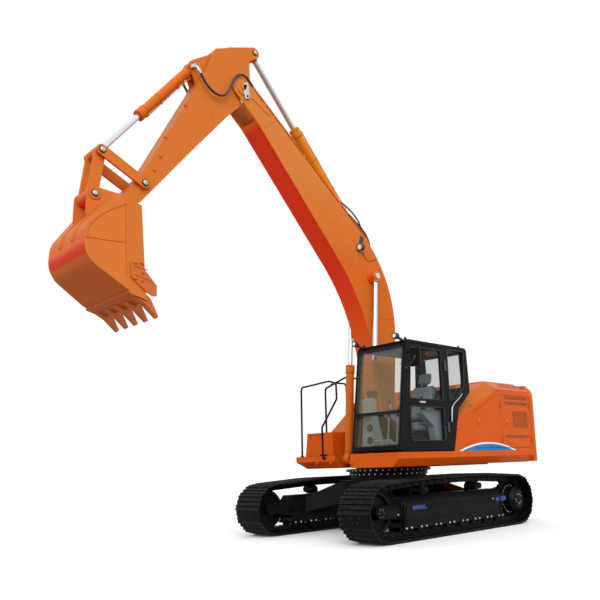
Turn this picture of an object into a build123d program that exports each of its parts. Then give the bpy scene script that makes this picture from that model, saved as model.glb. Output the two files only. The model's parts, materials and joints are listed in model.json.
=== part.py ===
from build123d import *
import math
import os

# Crawler excavator of the 22 tonne class, in millimetres
# +X points forwards, +Y to the operator's left and +Z up.
# The origin lies on the ground, on the swing axis.
# Outlines are lists of points. A third value in a point is the radius of its corner.

# Running gaps
pin_gap = 0.1
seat_gap = 0.3
door_gap = 6
hinge_radius = 10
hinge_offset = 12
hinge_leaf = 6
hinge_half = 28
hinge_reach = 30
side_gap = 10

# Tracks
track_gauge = 2380
shoe_width = 600
wheel_base = 3660
track_pitch = 190
pitch_radius = 344
plate_outside = 64
plate_thickness = 14
grouser_height = 26
grouser_base = 34
grouser_places = (0.12, 0.48, 0.84)
rail_below = 45
rail_width = 44
rail_spacing = 150
carrier_base = 1500
carrier_height = 715
carrier_radius = 75
roller_radius = 75
roller_count = 8
roller_spread = 2540
sprocket_teeth = 23
tooth_depth = 34
sprocket_width = 56
drive_radius = 215
drive_reach = 240
drive_flange = 16
hoop_rim = 30
hoop_width = 40
track_frame_half = 190
track_frame_wall = 36
track_frame_top = 640
track_frame_shoulder = 530
track_frame_length = 2700
yoke_width = 35

# Carrying frame between the tracks and the swing bearing
car_bottom = 480
car_top = 860
car_half = 620
leg_inner = 330
leg_outer = 1080
leg_end_top = 600
leg_end_bottom = 330
bearing_seat_height = 40
bearing_inner_radius = 500
bearing_race_radius = 590
bearing_outer_radius = 680
bearing_rim_radius = 730
bearing_flange = 40
bearing_rim = 48
shackle_hole_radius = 32
shackle_plate = 40
shackle_radius = 72
shackle_reach = 85
shackle_height = 590

# Upper frame
frame_bottom = 1050
deck_bottom = 1078
deck_top = 1294
deck_crease = 1200
deck_plate = 32
skirt_width = 240
skirt_chamfer = 120
frame_half = 400
upper_half = 1370
frame_front = 450
frame_rear = -2600
deck_rear = -2640
deck_front_left = 1400
deck_front_right = 920
front_beam = 200

# Counterweight
weight_rear = -2930
weight_corner = -2820
weight_top = 2520
weight_lower_chamfer = 190
weight_eye_radius = 30

# Engine housing
house_half = 1360
house_top = 2530
house_front = -60
house_knee = (-250, 1990)
house_shoulder = -1470
house_wall = 40
house_inner_side = 560
ridge_in = 140
ridge_down = 230
door_thickness = 40
door_seams = (-670, -1570, -2600)
door_post = 40
door_sill = 1340
door_top_front = 1950
door_top = 2290
service_hinge_heights = (1490, 2110)
hood_length = 1080
hood_half = 1080
hood_thickness = 36
hood_hinge_places = (-800, 0, 800)
hood_hinge_half = 60
vent_plate = 6
vent_sunk = 3
vent_bar = 8
# Columns: x low, x high, z low, z high, columns and rows of openings.
vents = (
    (-2530, -1700, 2208, 2268, 6, 3),
    (-2530, -1700, 2112, 2172, 6, 3),
    (-2515, -1965, 1700, 2000, 11, 8),
    (-2515, -1675, 1506, 1566, 6, 3),
)
top_vent_span = (-1750, -2600)
top_vent_width = 90
top_vent_depth = 10
top_vent_raise = 62
top_vent_slots = 10

# Right hand tanks and tool box
tank_inner = -650
tank_outer = -1350
hydraulic_tank_span = (-1455, -560)
hydraulic_tank_top = 2330
fuel_tank_span = (-540, 60)
fuel_tank_top = 2150
fuel_tank_lip = 1720
tool_box_span = (70, 700)
tool_box_top = 1690
tool_box_wall = 20
tool_box_slant = 60
tool_box_ledge = 200
lid_thickness = 24
lid_setback = 12
rail_tube_radius = 17
rail_bend = 70
rail_top = 2735
rail_knee = 2565
step_rail_offset = 55

# Cab
cab_right = 375
cab_left = 1370
cab_floor = 1310
cab_roof = 3030
cab_front_bottom = 1330
cab_front_top = 1075
cab_wall = 60
cab_pad_radius = 55
glass_thickness = 6
cab_door_rear = 130
cab_door_front = 1120
cab_door_front_top = 1035
cab_door_bottom = 1356
cab_door_thickness = 50
cab_door_rail = 2050
cab_door_frame = 62
screen_split = 1905
screen_bar = 40
lamp_radius = 47
lamp_rise = 56
mirror_foot_drop = 226
mirror_foot_inset = 24
mirror_bend = (100, 150, 11)
mirror_head = (64, 215, -93)
mirror_size = (50, 160, 290)
mirror_turn = 20

# Boom, arm and bucket pins as (x, z) with the arm raised as parked
boom_foot = (130, 2020)
arm_pivot = (3230, 6890)
boom_cylinder_foot = (690, 1220)
boom_cylinder_eye = (430, 4380)
arm_cylinder_foot = (820, 5400)
arm_cylinder_eye = (2885, 7660)
bucket_cylinder_foot = (4040, 6970)
rocker_pin = (4915, 4900)
link_pin = (5518, 5178)
bucket_pin = (5180, 4545)
bucket_link_pin = (5622, 4570)
large_pin_radius = 45
pin_radius = 38
boom_half = 190
fork_plate = 25
arm_half = 140
fork_slot_radius = 500
foot_plate = 40
boss_radius = 150
work_lamp_place = (700, 4860)
work_lamp_radius = 62
pipe_radius = 15
pipe_rise = 45
pipe_end = (430, 4994)
pipe_bend = 70
pipe_spread = 168
pipe_clamps = (0.1, 0.35, 0.6)

# Hydraulic cylinders
boom_cylinder_offset = 285
boom_tube_radius = 70
boom_rod_radius = 42
boom_tube_length = 1650
boom_rod_length = 1740
arm_tube_radius = 80
arm_rod_radius = 47
arm_tube_length = 1760
arm_rod_length = 1940
bucket_tube_radius = 68
bucket_rod_radius = 40
bucket_tube_length = 1360
bucket_rod_length = 1490
eye_radius = 74
eye_half = 50
ear_plate = 34
tube_neck = 130
collar_length = 130
pin_cap = 14

# Bucket
bucket_half = 575
bucket_back_half = 505
bucket_taper_start = 5400
bucket_wall = 20
bucket_ear_inner = 157
bucket_ear_plate = 34
rocker_plate = 32
link_boss_half = 150
tooth_count = 5
tooth_spread = 1000
tooth_width = 104
tooth_tip_width = 56
lip_thickness = 40
ear_boss = 14
wear_strap = 12
cutter_plate = 20

wheel_height = pitch_radius + plate_outside + grouser_height
track_centre = track_gauge / 2
track_frame_inside = track_frame_half - track_frame_wall
house_bottom = deck_top
cab_door_top = cab_roof - 50
cab_hinge_heights = (1680, cab_door_top - 300)
window_top = cab_roof - 70
hood_front = house_shoulder - 70
hood_axis = (hood_front + hinge_offset, house_top + hinge_radius + 4)


def outline(points):
    """Face inside a closed line; each point may carry the radius of its corner."""
    corners = [(point[0], point[1]) for point in points]
    radii = [point[2] if len(point) > 2 else 0 for point in points]
    if any(radii):
        return make_face(FilletPolyline(*corners, radius=radii, close=True))
    return make_face(Polyline(*corners, close=True))


def side_prism(points, y_low, y_high):
    """Solid between two y values from an outline of (x, z) points."""
    return extrude(Plane.XZ.offset(-y_high) * outline(points), y_high - y_low)


def front_prism(points, x_low, x_high):
    """Solid between two x values from an outline of (y, z) points."""
    return extrude(Plane.YZ.offset(x_low) * outline(points), x_high - x_low)


def plan_prism(points, z_low, z_high):
    """Solid between two z values from an outline of (x, y) points."""
    return extrude(Plane.XY.offset(z_low) * outline(points), z_high - z_low)


def hull_prism(circles, y_low, y_high):
    """Solid between two y values whose outline wraps circles given as (x, z, radius)."""
    edges = []
    for x, z, radius in circles:
        edges += (Pos(x, z) * Circle(radius)).edges()
    return extrude(Plane.XZ.offset(-y_high) * make_hull(edges), y_high - y_low)


def cross_rod(place, radius, y_low, y_high):
    """Round bar along Y at an (x, z) place."""
    x, z = place
    return Pos(x, (y_low + y_high) / 2, z) * Rot(90, 0, 0) * Cylinder(radius, y_high - y_low)


def upright(x, y, radius, z_low, z_high):
    """Round bar along Z."""
    return Pos(x, y, (z_low + z_high) / 2) * Cylinder(radius, z_high - z_low)


def block(low, high):
    """Box between two corners."""
    size = [b - a for a, b in zip(low, high)]
    centre = [(a + b) / 2 for a, b in zip(low, high)]
    return Pos(*centre) * Box(*size)


def mirrored(shape):
    """The same shape on the other side of the machine."""
    return mirror(shape, about=Plane.XZ)


def pair(shape):
    """A shape and its mirror image, as separate solids."""
    return [shape, mirrored(shape)]


def along(start, end, distance):
    """The (x, z) point at a distance from start, on the way to end."""
    length = math.dist(start, end)
    return tuple(a + (b - a) * distance / length for a, b in zip(start, end))


def bar_between(start, end, radius, y):
    """Round bar between two (x, z) points at one y."""
    length = math.dist(start, end)
    pitch = math.degrees(math.atan2(end[0] - start[0], end[1] - start[1]))
    middle = [(a + b) / 2 for a, b in zip(start, end)]
    return Pos(middle[0], y, middle[1]) * Rot(0, pitch, 0) * Cylinder(radius, length)


def tube_along(points, radius, bend):
    """Bent tube through (x, y, z) points."""
    path = FilletPolyline(*points, radius=bend)
    start = Plane(origin=path @ 0, z_dir=path % 0)
    return sweep(start * Circle(radius), path=path)


# Tracks and running gear


def belt_wheels():
    """Wheels inside the track as (x, z, radius of the pin line), counterclockwise."""
    carrier_line = carrier_radius + rail_below
    return [
        (wheel_base / 2, wheel_height, pitch_radius),
        (carrier_base / 2, carrier_height, carrier_line),
        (-carrier_base / 2, carrier_height, carrier_line),
        (-wheel_base / 2, wheel_height, pitch_radius),
    ]


def belt_path():
    """Arcs and lines of the pin line: (length, function of distance to point and normal angle)."""
    wheels = belt_wheels()
    normals = []
    for a, b in zip(wheels, wheels[1:] + wheels[:1]):
        heading = math.atan2(b[1] - a[1], b[0] - a[0])
        normals.append(heading - math.acos((a[2] - b[2]) / math.dist(a[:2], b[:2])))
    path = []
    for index, (x, z, radius) in enumerate(wheels):
        start = normals[index - 1]
        turn = (normals[index] - start) % (2 * math.pi)
        path.append((radius * turn, "arc", (x, z, radius, start)))
        after = wheels[(index + 1) % len(wheels)]
        angle = normals[index]
        begin = (x + radius * math.cos(angle), z + radius * math.sin(angle))
        end = (after[0] + after[2] * math.cos(angle), after[1] + after[2] * math.sin(angle))
        path.append((math.dist(begin, end), "line", (begin, end, angle)))
    return path


def belt_stations():
    """Pins of the track chain, evenly spaced, as (x, z, normal angle)."""
    path = belt_path()
    total = sum(length for length, _, _ in path)
    count = round(total / track_pitch)
    stations = []
    for index in range(count):
        distance = total * index / count
        for length, kind, data in path:
            if distance < length:
                break
            distance -= length
        if kind == "arc":
            x, z, radius, start = data
            angle = start + distance / radius
            stations.append((x + radius * math.cos(angle), z + radius * math.sin(angle), angle))
        else:
            begin, end, angle = data
            share = distance / length
            x = begin[0] + (end[0] - begin[0]) * share
            z = begin[1] + (end[1] - begin[1]) * share
            stations.append((x, z, angle))
    return stations


def belt_line(stations, offset):
    """The belt's points at an offset outside the pin line."""
    return [(x + offset * math.cos(a), z + offset * math.sin(a)) for x, z, a in stations]


def grouser_line(stations):
    """Outer edge of the shoes: three ribs across each plate."""
    base = belt_line(stations, plate_outside)
    points = []
    for (x0, z0), (x1, z1) in zip(base, base[1:] + base[:1]):
        length = math.hypot(x1 - x0, z1 - z0)
        ux, uz = (x1 - x0) / length, (z1 - z0) / length
        for place in grouser_places:
            foot = place * length
            points.append((x0 + ux * foot, z0 + uz * foot))
            top = foot + grouser_base / 2
            points.append((x0 + ux * top + uz * grouser_height, z0 + uz * top - ux * grouser_height))
            foot += grouser_base
            points.append((x0 + ux * foot, z0 + uz * foot))
    return points


def belt_ring(outer, inner, y_low, y_high):
    """Closed band between two lines of (x, z) points."""
    loops = [Wire.make_polygon([(x, y_low, z) for x, z in line]) for line in (outer, inner)]
    return extrude(Face(loops[0], [loops[1]]), y_high - y_low, dir=(0, 1, 0))


def make_track(side):
    """Track shoes as one band, with the two chain rails inside it."""
    stations = belt_stations()
    centre = side * track_centre
    inner = belt_line(stations, plate_outside - plate_thickness)
    solids = [belt_ring(grouser_line(stations), inner, centre - shoe_width / 2, centre + shoe_width / 2)]
    rail_out = belt_line(stations, plate_outside - plate_thickness - seat_gap)
    rail_in = belt_line(stations, -rail_below)
    for hand in (-1, 1):
        middle = centre + hand * rail_spacing / 2
        solids.append(belt_ring(rail_out, rail_in, middle - rail_width / 2, middle + rail_width / 2))
    return solids


def rail_clear_radius(x, z):
    """Largest wheel about (x, z) that stays inside the straight links of the chain."""
    line = belt_line(belt_stations(), -rail_below)
    nearest = math.inf
    for (x0, z0), (x1, z1) in zip(line, line[1:] + line[:1]):
        length = math.hypot(x1 - x0, z1 - z0)
        share = ((x - x0) * (x1 - x0) + (z - z0) * (z1 - z0)) / length**2
        share = min(max(share, 0), 1)
        nearest = min(nearest, math.hypot(x0 + (x1 - x0) * share - x, z0 + (z1 - z0) * share - z))
    return nearest - seat_gap


def revolved(profile, x, y, z):
    """Turned piece about Y from (distance along Y, radius) points."""
    face = make_face(Polyline(*[(radius, along_y) for along_y, radius in profile], close=True))
    return Pos(x, y, z) * revolve(face, Axis.Y)


def make_idler(side):
    """Front idler: a tread for each rail, a guiding rim between them and a hub."""
    tread = rail_clear_radius(wheel_base / 2, wheel_height)
    rim = pitch_radius - 20
    rim_half = (rail_spacing - rail_width) / 2 - 4
    tread_half = (rail_spacing + rail_width) / 2 + 4
    hub_half = tread_half + 14
    web = 45
    profile = [
        (-hub_half, 0),
        (-hub_half, 95),
        (-web, 105),
        (-web, tread - 50),
        (-tread_half, tread - 30),
        (-tread_half, tread),
        (-rim_half, tread),
        (-rim_half + 8, rim),
    ]
    profile += [(-y, radius) for y, radius in reversed(profile)]
    return revolved(profile, wheel_base / 2, side * track_centre, wheel_height)


def make_sprocket(side):
    """Toothed drive ring behind, with flat tips and straight flanks."""
    tip = pitch_radius + 6
    root = tip - tooth_depth
    step = 2 * math.pi / sprocket_teeth
    points = []
    for index in range(sprocket_teeth):
        for share, radius in ((-0.16, tip), (0.16, tip), (0.3, root), (0.7, root)):
            angle = (index + share) * step
            points.append((radius * math.cos(angle), radius * math.sin(angle)))
    ring = extrude(outline(points), sprocket_width / 2, both=True)
    return Pos(-wheel_base / 2, side * track_centre, wheel_height) * Rot(90, 0, 0) * ring


def make_final_drive(side):
    """Reduction housing outside the sprocket and travel motor inside it."""
    seat = sprocket_width / 2
    outer = [
        (seat, 0),
        (seat, drive_radius + 50),
        (seat + 34, drive_radius + 50),
        (seat + 44, drive_radius),
        (drive_reach - 50, drive_radius),
        (drive_reach - 20, drive_radius - 35),
        (drive_reach, drive_radius - 50),
        (drive_reach, 0),
    ]
    neck = drive_radius - hoop_rim - seat_gap
    motor = [
        (-seat, 0),
        (-seat, drive_radius),
        (-seat - drive_flange, drive_radius),
        (-seat - drive_flange, neck),
        (-drive_reach + 30, neck - 20),
        (-drive_reach, neck - 50),
        (-drive_reach, 0),
    ]
    place = (-wheel_base / 2, side * track_centre, wheel_height)
    solids = []
    for profile in (outer, motor):
        turned = [(y * side, radius) for y, radius in profile]
        solids.append(revolved(turned, *place))
    return solids


def make_rollers(side):
    """Bottom rollers and the two carrier rollers under the top run."""
    centre = side * track_centre
    gap = rail_spacing - rail_width
    guide = gap / 2 - 4
    tread = (rail_spacing + rail_width) / 2 + 4
    shaft = track_frame_inside - seat_gap
    height = wheel_height - pitch_radius + rail_below + roller_radius + seat_gap
    profile = [
        (-shaft, 0),
        (-shaft, 28),
        (-tread - 10, 28),
        (-tread - 10, roller_radius + 14),
        (-tread - 2, roller_radius + 14),
        (-tread, roller_radius),
        (-guide, roller_radius),
        (-guide + 6, roller_radius - 12),
    ]
    profile += [(-y, radius) for y, radius in reversed(profile)]
    solids = []
    for index in range(roller_count):
        x = -roller_spread / 2 + roller_spread * index / (roller_count - 1)
        solids.append(revolved(profile, x, centre, height))
    for x in (-carrier_base / 2, carrier_base / 2):
        radius = rail_clear_radius(x, carrier_height)
        carrier = [(-tread, 0), (-tread, radius), (tread, radius), (tread, 0)]
        solids.append(revolved(carrier, x, centre, carrier_height))
    return solids


def make_track_frame(side):
    """Roof shaped side frame, open below over the rollers, with the idler yoke in front."""
    centre = side * track_centre
    half = track_frame_half
    inside = track_frame_inside
    floor = wheel_height - pitch_radius + rail_below + 2 * roller_radius + 20
    skirt = floor - roller_radius - 60
    ridge = half / 2
    section = [
        (centre - half, skirt),
        (centre - inside, skirt),
        (centre - inside, floor),
        (centre + inside, floor),
        (centre + inside, skirt),
        (centre + half, skirt),
        (centre + half, track_frame_shoulder),
        (centre + ridge, track_frame_top),
        (centre - ridge, track_frame_top),
        (centre - half, track_frame_shoulder),
    ]
    front = track_frame_length / 2
    body = front_prism(section, -front, front)
    hub_half = (rail_spacing + rail_width) / 2 + 4 + 14
    yoke_arm = 75
    for hand in (-1, 1):
        low = centre + hand * (hub_half + seat_gap)
        high = low + hand * yoke_width
        span = sorted((low, high))
        arm = [
            (front - 200, wheel_height, yoke_arm),
            (wheel_base / 2, wheel_height, yoke_arm + 20),
        ]
        body += hull_prism(arm, *span)
    seat = sprocket_width / 2
    near = seat + drive_flange + seat_gap
    far = near + hoop_width
    span = sorted((centre - side * near, centre - side * far))
    hoop = [
        (-front + 220, wheel_height + 46, 120),
        (-wheel_base / 2, wheel_height, drive_radius + 20),
    ]
    body += hull_prism(hoop, *span)
    body -= cross_rod((-wheel_base / 2, wheel_height), drive_radius - hoop_rim, *span)
    tread = (rail_spacing + rail_width) / 2 + 4
    stalk = 40
    for x in (-carrier_base / 2, carrier_base / 2):
        inner = centre - side * (tread + seat_gap)
        outer = inner - side * 30
        span = sorted((inner, outer))
        arm = [(x, track_frame_shoulder, stalk + 20), (x, carrier_height, stalk)]
        body += hull_prism(arm, *span)
    return body


def make_car_body():
    """Centre box with four legs that drop to the side frames, and the bearing seat on top."""
    body = block((-car_half, -car_half, car_bottom), (car_half, car_half, car_top))
    side = track_centre - track_frame_half
    slope = [
        (0, car_bottom),
        (car_half - 60, car_bottom),
        (side, leg_end_bottom),
        (side, leg_end_top),
        (car_half - 60, car_top - 30),
        (0, car_top - 30),
    ]
    plan = [
        (leg_inner - 150, 0),
        (leg_inner + 200, car_half),
        (leg_inner + 220, side),
        (leg_outer, side),
        (car_half - 40, car_half - 200),
        (car_half - 40, 0),
    ]
    leg = front_prism(slope, 0, leg_outer) & plan_prism(plan, 0, car_top)
    for x_mirror in (False, True):
        for y_mirror in (False, True):
            piece = leg
            if x_mirror:
                piece = mirror(piece, about=Plane.YZ)
            if y_mirror:
                piece = mirrored(piece)
            body += piece
    body += upright(0, 0, bearing_outer_radius - 20, car_top - 20, car_top + bearing_seat_height)
    for x_side in (-1, 1):
        hole_x = x_side * (car_half + shackle_reach)
        low, high = sorted((x_side * (car_half - 20), hole_x))
        bottom, top = shackle_height - shackle_plate / 2, shackle_height + shackle_plate / 2
        body += block((low, -shackle_radius, bottom), (high, shackle_radius, top))
        body += upright(hole_x, 0, shackle_radius, bottom, top)
        body -= upright(hole_x, 0, shackle_hole_radius, bottom - 10, top + 10)
    return body


def make_bearing():
    """Fixed toothed race below and the turning race around it."""
    low = car_top + bearing_seat_height
    fixed = upright(0, 0, bearing_outer_radius - 20, low, low + bearing_flange)
    fixed += upright(0, 0, bearing_race_radius, low, frame_bottom - 15)
    fixed -= upright(0, 0, bearing_inner_radius, low, frame_bottom)
    turning = upright(0, 0, bearing_outer_radius, low + bearing_flange + 6, frame_bottom)
    turning += upright(0, 0, bearing_rim_radius, frame_bottom - bearing_rim, frame_bottom)
    turning -= upright(0, 0, bearing_race_radius + seat_gap, low, frame_bottom)
    return fixed, turning


# Upper frame and housing


def make_main_frame():
    """Centre section with the boom foot plates and the cylinder brackets in front."""
    nose = [
        (frame_rear, frame_bottom),
        (frame_front - 70, frame_bottom),
        (frame_front, frame_bottom + 60),
        (frame_front, deck_top),
        (frame_rear, deck_top),
    ]
    body = side_prism(nose, -frame_half, frame_half)
    inner = boom_half + side_gap
    foot = [
        (boom_foot[0], boom_foot[1], boss_radius),
        (-540, deck_top + 10, 30),
        (frame_front - 40, deck_top + 10, 30),
    ]
    plate = hull_prism(foot, inner, inner + foot_plate)
    plate -= cross_rod(boom_foot, large_pin_radius + pin_gap, inner - 5, inner + foot_plate + 5)
    knee = [
        (boom_cylinder_foot[0], boom_cylinder_foot[1], eye_radius + 16),
        (frame_front - 40, frame_bottom + 90, 60),
        (frame_front - 40, deck_top - 62, 60),
    ]
    lugs = []
    for hand in (-1, 1):
        near = boom_cylinder_offset + hand * (eye_half + 3)
        far = near + hand * (ear_plate / 2)
        lugs.append(hull_prism(knee, *sorted((near, far))))
    for piece in pair(plate) + pair(lugs[0]) + pair(lugs[1]):
        body += piece
    hole = cross_rod(boom_cylinder_foot, pin_radius + pin_gap, -frame_half, frame_half)
    return body - hole


def make_frame_pins():
    """Boom foot pin and the two pins of the boom cylinders."""
    reach = boom_half + side_gap + foot_plate + 14
    pins = [cross_rod(boom_foot, large_pin_radius, -reach, reach)]
    reach = eye_half + 3 + ear_plate / 2
    pin = cross_rod(boom_cylinder_foot, pin_radius, boom_cylinder_offset - reach, boom_cylinder_offset + reach)
    return pins + pair(pin)


def make_deck(front, chamfered):
    """Left hand side deck: top plate, box skirt and front beam, with cross beams under the plate."""
    outer = upper_half
    envelope = front_prism(
        [
            (frame_half, deck_bottom),
            (outer - skirt_chamfer, deck_bottom),
            (outer, deck_crease),
            (outer, deck_top),
            (frame_half, deck_top),
        ],
        deck_rear,
        front,
    )
    plate = block((deck_rear, frame_half, deck_top - deck_plate), (front, outer, deck_top))
    skirt = block((deck_rear, outer - skirt_width, deck_bottom), (front, outer, deck_top))
    if chamfered:
        nose = [
            (front - front_beam - 160, deck_bottom),
            (front - 160, deck_bottom),
            (front, deck_crease),
            (front, deck_top),
            (front - front_beam - 160, deck_top),
        ]
        wedge = [(front - 160, deck_bottom), (front, deck_crease), (front, deck_bottom)]
        envelope -= side_prism(wedge, frame_half - 10, outer + 10)
    else:
        nose = [
            (front - front_beam, deck_bottom),
            (front, deck_bottom),
            (front, deck_top),
            (front - front_beam, deck_top),
        ]
    body = plate + skirt + side_prism(nose, frame_half, outer)
    for x in (-2500, -1500, -700):
        body += block((x, frame_half, deck_bottom + 40), (x + 120, outer - 20, deck_top))
    return body & envelope


def house_block(inset):
    """Outer form of the engine housing, or its inside when inset by the wall."""
    half = house_half - inset
    top = house_top - inset
    bottom = house_bottom - (20 if inset else 0)
    rear = deck_rear - (20 if inset else 0)
    knee_x, knee_z = house_knee
    left = side_prism(
        [
            (house_front - inset, bottom),
            (knee_x - inset, knee_z - inset * 0.4),
            (house_shoulder - inset * 0.6, top),
            (rear, top),
            (rear, bottom),
        ],
        house_inner_side + inset,
        half,
    )
    rest = block((rear, -half, bottom), (house_shoulder - inset, house_inner_side + inset, top))
    body = left + rest
    edges = body.edges().filter_by(lambda e: abs(e.center().Y - half) < 1)
    top_edge = edges.sort_by(Axis.Z)[-1]
    slant = [
        e
        for e in edges
        if knee_z < e.center().Z + 100 and e.center().Z < top - 5 and e.bounding_box().size.X > 500
    ]
    body = chamfer([top_edge] + slant, ridge_in, ridge_down, reference=body.faces().sort_by(Axis.Y)[-1])
    return body


def make_house():
    """Engine housing of thin walls with openings for the doors and the hood."""
    body = house_block(0) - house_block(house_wall)
    front, middle, rear = door_seams
    deep = house_wall * 2
    for opening in (
        door_outline(front, middle, door_top_front),
        door_outline(middle - door_post, rear, door_top),
    ):
        body -= side_prism(opening, house_half - deep, house_half + 10)
    right = door_outline(middle - door_post, rear, door_top)
    body -= side_prism(right, -house_half - 10, -house_half + deep)
    low, high = hood_opening()
    body -= block((low[0], low[1], house_top - deep), (high[0], high[1], house_top + 10))
    for x in (middle, rear):
        for knuckle in frame_knuckles(x + door_gap / 2, house_half, service_hinge_heights):
            body += knuckle
    for knuckle in frame_knuckles(rear + door_gap / 2, house_half, service_hinge_heights):
        body += mirrored(knuckle)
    for y in hood_hinge_places:
        for hand in (-1, 1):
            near = y + hand * (hood_hinge_half + seat_gap)
            low, high = sorted((near, near + hand * hinge_half))
            body += cross_rod(hood_axis, hinge_radius, low, high)
            body += block((hood_axis[0], low, house_top - 2), (hood_axis[0] + hinge_reach, high, hood_axis[1]))
    vent = top_vent_box(top_vent_depth)
    return body - vent


def door_outline(front, rear, front_top, gap=0):
    """Side door as (x, z) points; its upper edge follows the crease of the housing."""
    slope = (door_top - front_top) / 820
    rise_end = max(rear, front - 820)
    top = min(door_top, front_top + slope * (front - rise_end))
    points = [
        (front - gap, door_sill + gap),
        (front - gap, front_top - gap),
    ]
    if front_top < door_top and rise_end > rear:
        points.append((rise_end, top - gap))
    points += [(rear + gap, top - gap), (rear + gap, door_sill + gap)]
    return points


def hood_opening():
    """Corners of the opening under the engine hood as two (x, y) points."""
    return (hood_front - hood_length + 80, -hood_half + 40), (hood_front - 40, hood_half - 40)


def make_hood():
    """Engine hood, a shallow crowned lid hinged along its front edge."""
    z = house_top + seat_gap
    lid = block((hood_front - hood_length, -hood_half, z), (hood_front, hood_half, z + hood_thickness))
    lid = chamfer(lid.faces().sort_by(Axis.Z)[-1].edges(), hood_thickness * 0.6)
    x, axis_z = hood_axis
    for y in hood_hinge_places:
        low, high = y - hood_hinge_half, y + hood_hinge_half
        lid += cross_rod(hood_axis, hinge_radius, low, high)
        lid += block((hood_front - hinge_reach, low, axis_z - 4), (x, high, axis_z + 4))
    return lid


def hinge_knuckle(x, surface, z_low, z_high, reach):
    """Hinge barrel on an upright axis with a leaf laid on the surface beside it."""
    barrel = upright(x, surface + hinge_offset, hinge_radius, z_low, z_high)
    low, high = sorted((x, x + reach))
    return barrel + block((low, surface - 2, z_low), (high, surface + hinge_leaf, z_high))


def door_knuckles(x, surface, heights):
    """The middle knuckles, which turn with the door."""
    return [hinge_knuckle(x, surface, z - hinge_half, z + hinge_half, hinge_reach) for z in heights]


def frame_knuckles(x, surface, heights):
    """The outer knuckles, above and below each one of the door."""
    near, far = hinge_half + seat_gap, 2 * hinge_half
    knuckles = []
    for z in heights:
        knuckles.append(hinge_knuckle(x, surface, z + near, z + far, -hinge_reach))
        knuckles.append(hinge_knuckle(x, surface, z - far, z - near, -hinge_reach))
    return knuckles


def make_side_door(front, rear, front_top, side, vented=False):
    """Service door, as thick as the wall, with hinge barrels at its rear edge."""
    shape = side_prism(
        door_outline(front, rear, front_top, door_gap), house_half - door_thickness, house_half
    )
    for knuckle in door_knuckles(rear + door_gap / 2, house_half, service_hinge_heights):
        shape += knuckle
    for x_low, x_high, z_low, z_high, _, _ in vents if vented else ():
        shape -= block((x_low, house_half - vent_sunk - vent_plate, z_low), (x_high, house_half + 1, z_high))
    return shape if side > 0 else mirrored(shape)


def top_vent_box(thickness):
    """Block sunk into the sloping shoulder of the housing by its thickness."""
    front, rear = top_vent_span
    slope = math.degrees(math.atan2(ridge_down, ridge_in))
    middle_y = house_half - ridge_in / 2
    middle_z = house_top - ridge_down / 2
    vent = Box(front - rear, top_vent_width, 2 * thickness)
    return Pos((front + rear) / 2, middle_y, middle_z) * Rot(-slope, 0, 0) * Pos(0, -top_vent_raise, 0) * vent


def louvre_plate(x_low, x_high, z_low, z_high, columns, rows):
    """Thin upright plate with a table of openings, in a pocket of the rear service door."""
    face_y = house_half - vent_sunk
    plate = block((x_low, face_y - vent_plate, z_low), (x_high, face_y, z_high))
    wide = (x_high - x_low - vent_bar) / columns
    tall = (z_high - z_low - vent_bar) / rows
    holes = []
    for column in range(columns):
        for row in range(rows):
            x = x_low + vent_bar + column * wide
            z = z_low + vent_bar + row * tall
            hole = block((x, face_y - vent_plate - 1, z), (x + wide - vent_bar, face_y + 1, z + tall - vent_bar))
            holes.append(hole)
    return plate - holes


def make_side_vents():
    """Louvred plates in the rear service door."""
    solids = []
    for x_low, x_high, z_low, z_high, columns, rows in vents:
        inset = seat_gap
        solids.append(louvre_plate(x_low + inset, x_high - inset, z_low + inset, z_high - inset, columns, rows))
    return solids


def make_top_vent():
    """Slotted plate in the sloping shoulder of the housing."""
    front, rear = top_vent_span
    plate = Box(front - rear - 2 * seat_gap, top_vent_width - 2 * seat_gap, vent_plate)
    step = (front - rear) / top_vent_slots
    for index in range(top_vent_slots):
        x = (rear - front) / 2 + step * (index + 0.5)
        plate -= Pos(x, 0, 0) * Box(step - 14, top_vent_width - 24, 2 * vent_plate)
    slope = math.degrees(math.atan2(ridge_down, ridge_in))
    place = Pos((front + rear) / 2, house_half - ridge_in / 2, house_top - ridge_down / 2)
    return place * Rot(-slope, 0, 0) * Pos(0, -top_vent_raise, vent_plate / 2 - top_vent_depth) * plate


def make_counterweight():
    """Rear casting with rounded corners and chamfered lower and upper edges."""
    plan = [
        (deck_rear, house_half + 10),
        (weight_corner, house_half + 10, 120),
        (weight_rear, 640, 900),
        (weight_rear, -640, 900),
        (weight_corner, -house_half - 10, 120),
        (deck_rear, -house_half - 10),
    ]
    body = plan_prism(plan, deck_bottom, weight_top)
    side_view = [
        (deck_rear, deck_bottom + 8),
        (weight_rear + weight_lower_chamfer, deck_bottom + 8),
        (weight_rear, deck_bottom + weight_lower_chamfer),
        (weight_rear, weight_top - 260),
        (weight_rear + 170, weight_top),
        (deck_rear, weight_top),
    ]
    body &= side_prism(side_view, -house_half - 20, house_half + 20)
    half = house_half + 10
    rear_view = [
        (-half, deck_bottom),
        (half, deck_bottom),
        (half, house_top - ridge_down),
        (half - ridge_in, house_top),
        (ridge_in - half, house_top),
        (-half, house_top - ridge_down),
    ]
    body &= front_prism(rear_view, weight_rear - 10, deck_rear)
    for y in (-650, 650):
        eye = hull_prism([(-2730, weight_top - 10, 45), (-2730, weight_top + 50, 45)], y - 20, y + 20)
        body += eye
        body -= cross_rod((-2730, weight_top + 50), weight_eye_radius, y - 30, y + 30)
    return body


def make_engine():
    """Engine as a plain block across the frame, with the cooler pack on the left."""
    engine = block((-2350, -520, deck_top), (-1550, 560, 2150))
    cooler = block((-2350, 700, deck_top), (-1550, 1180, 2200))
    return [engine, cooler]


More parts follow.
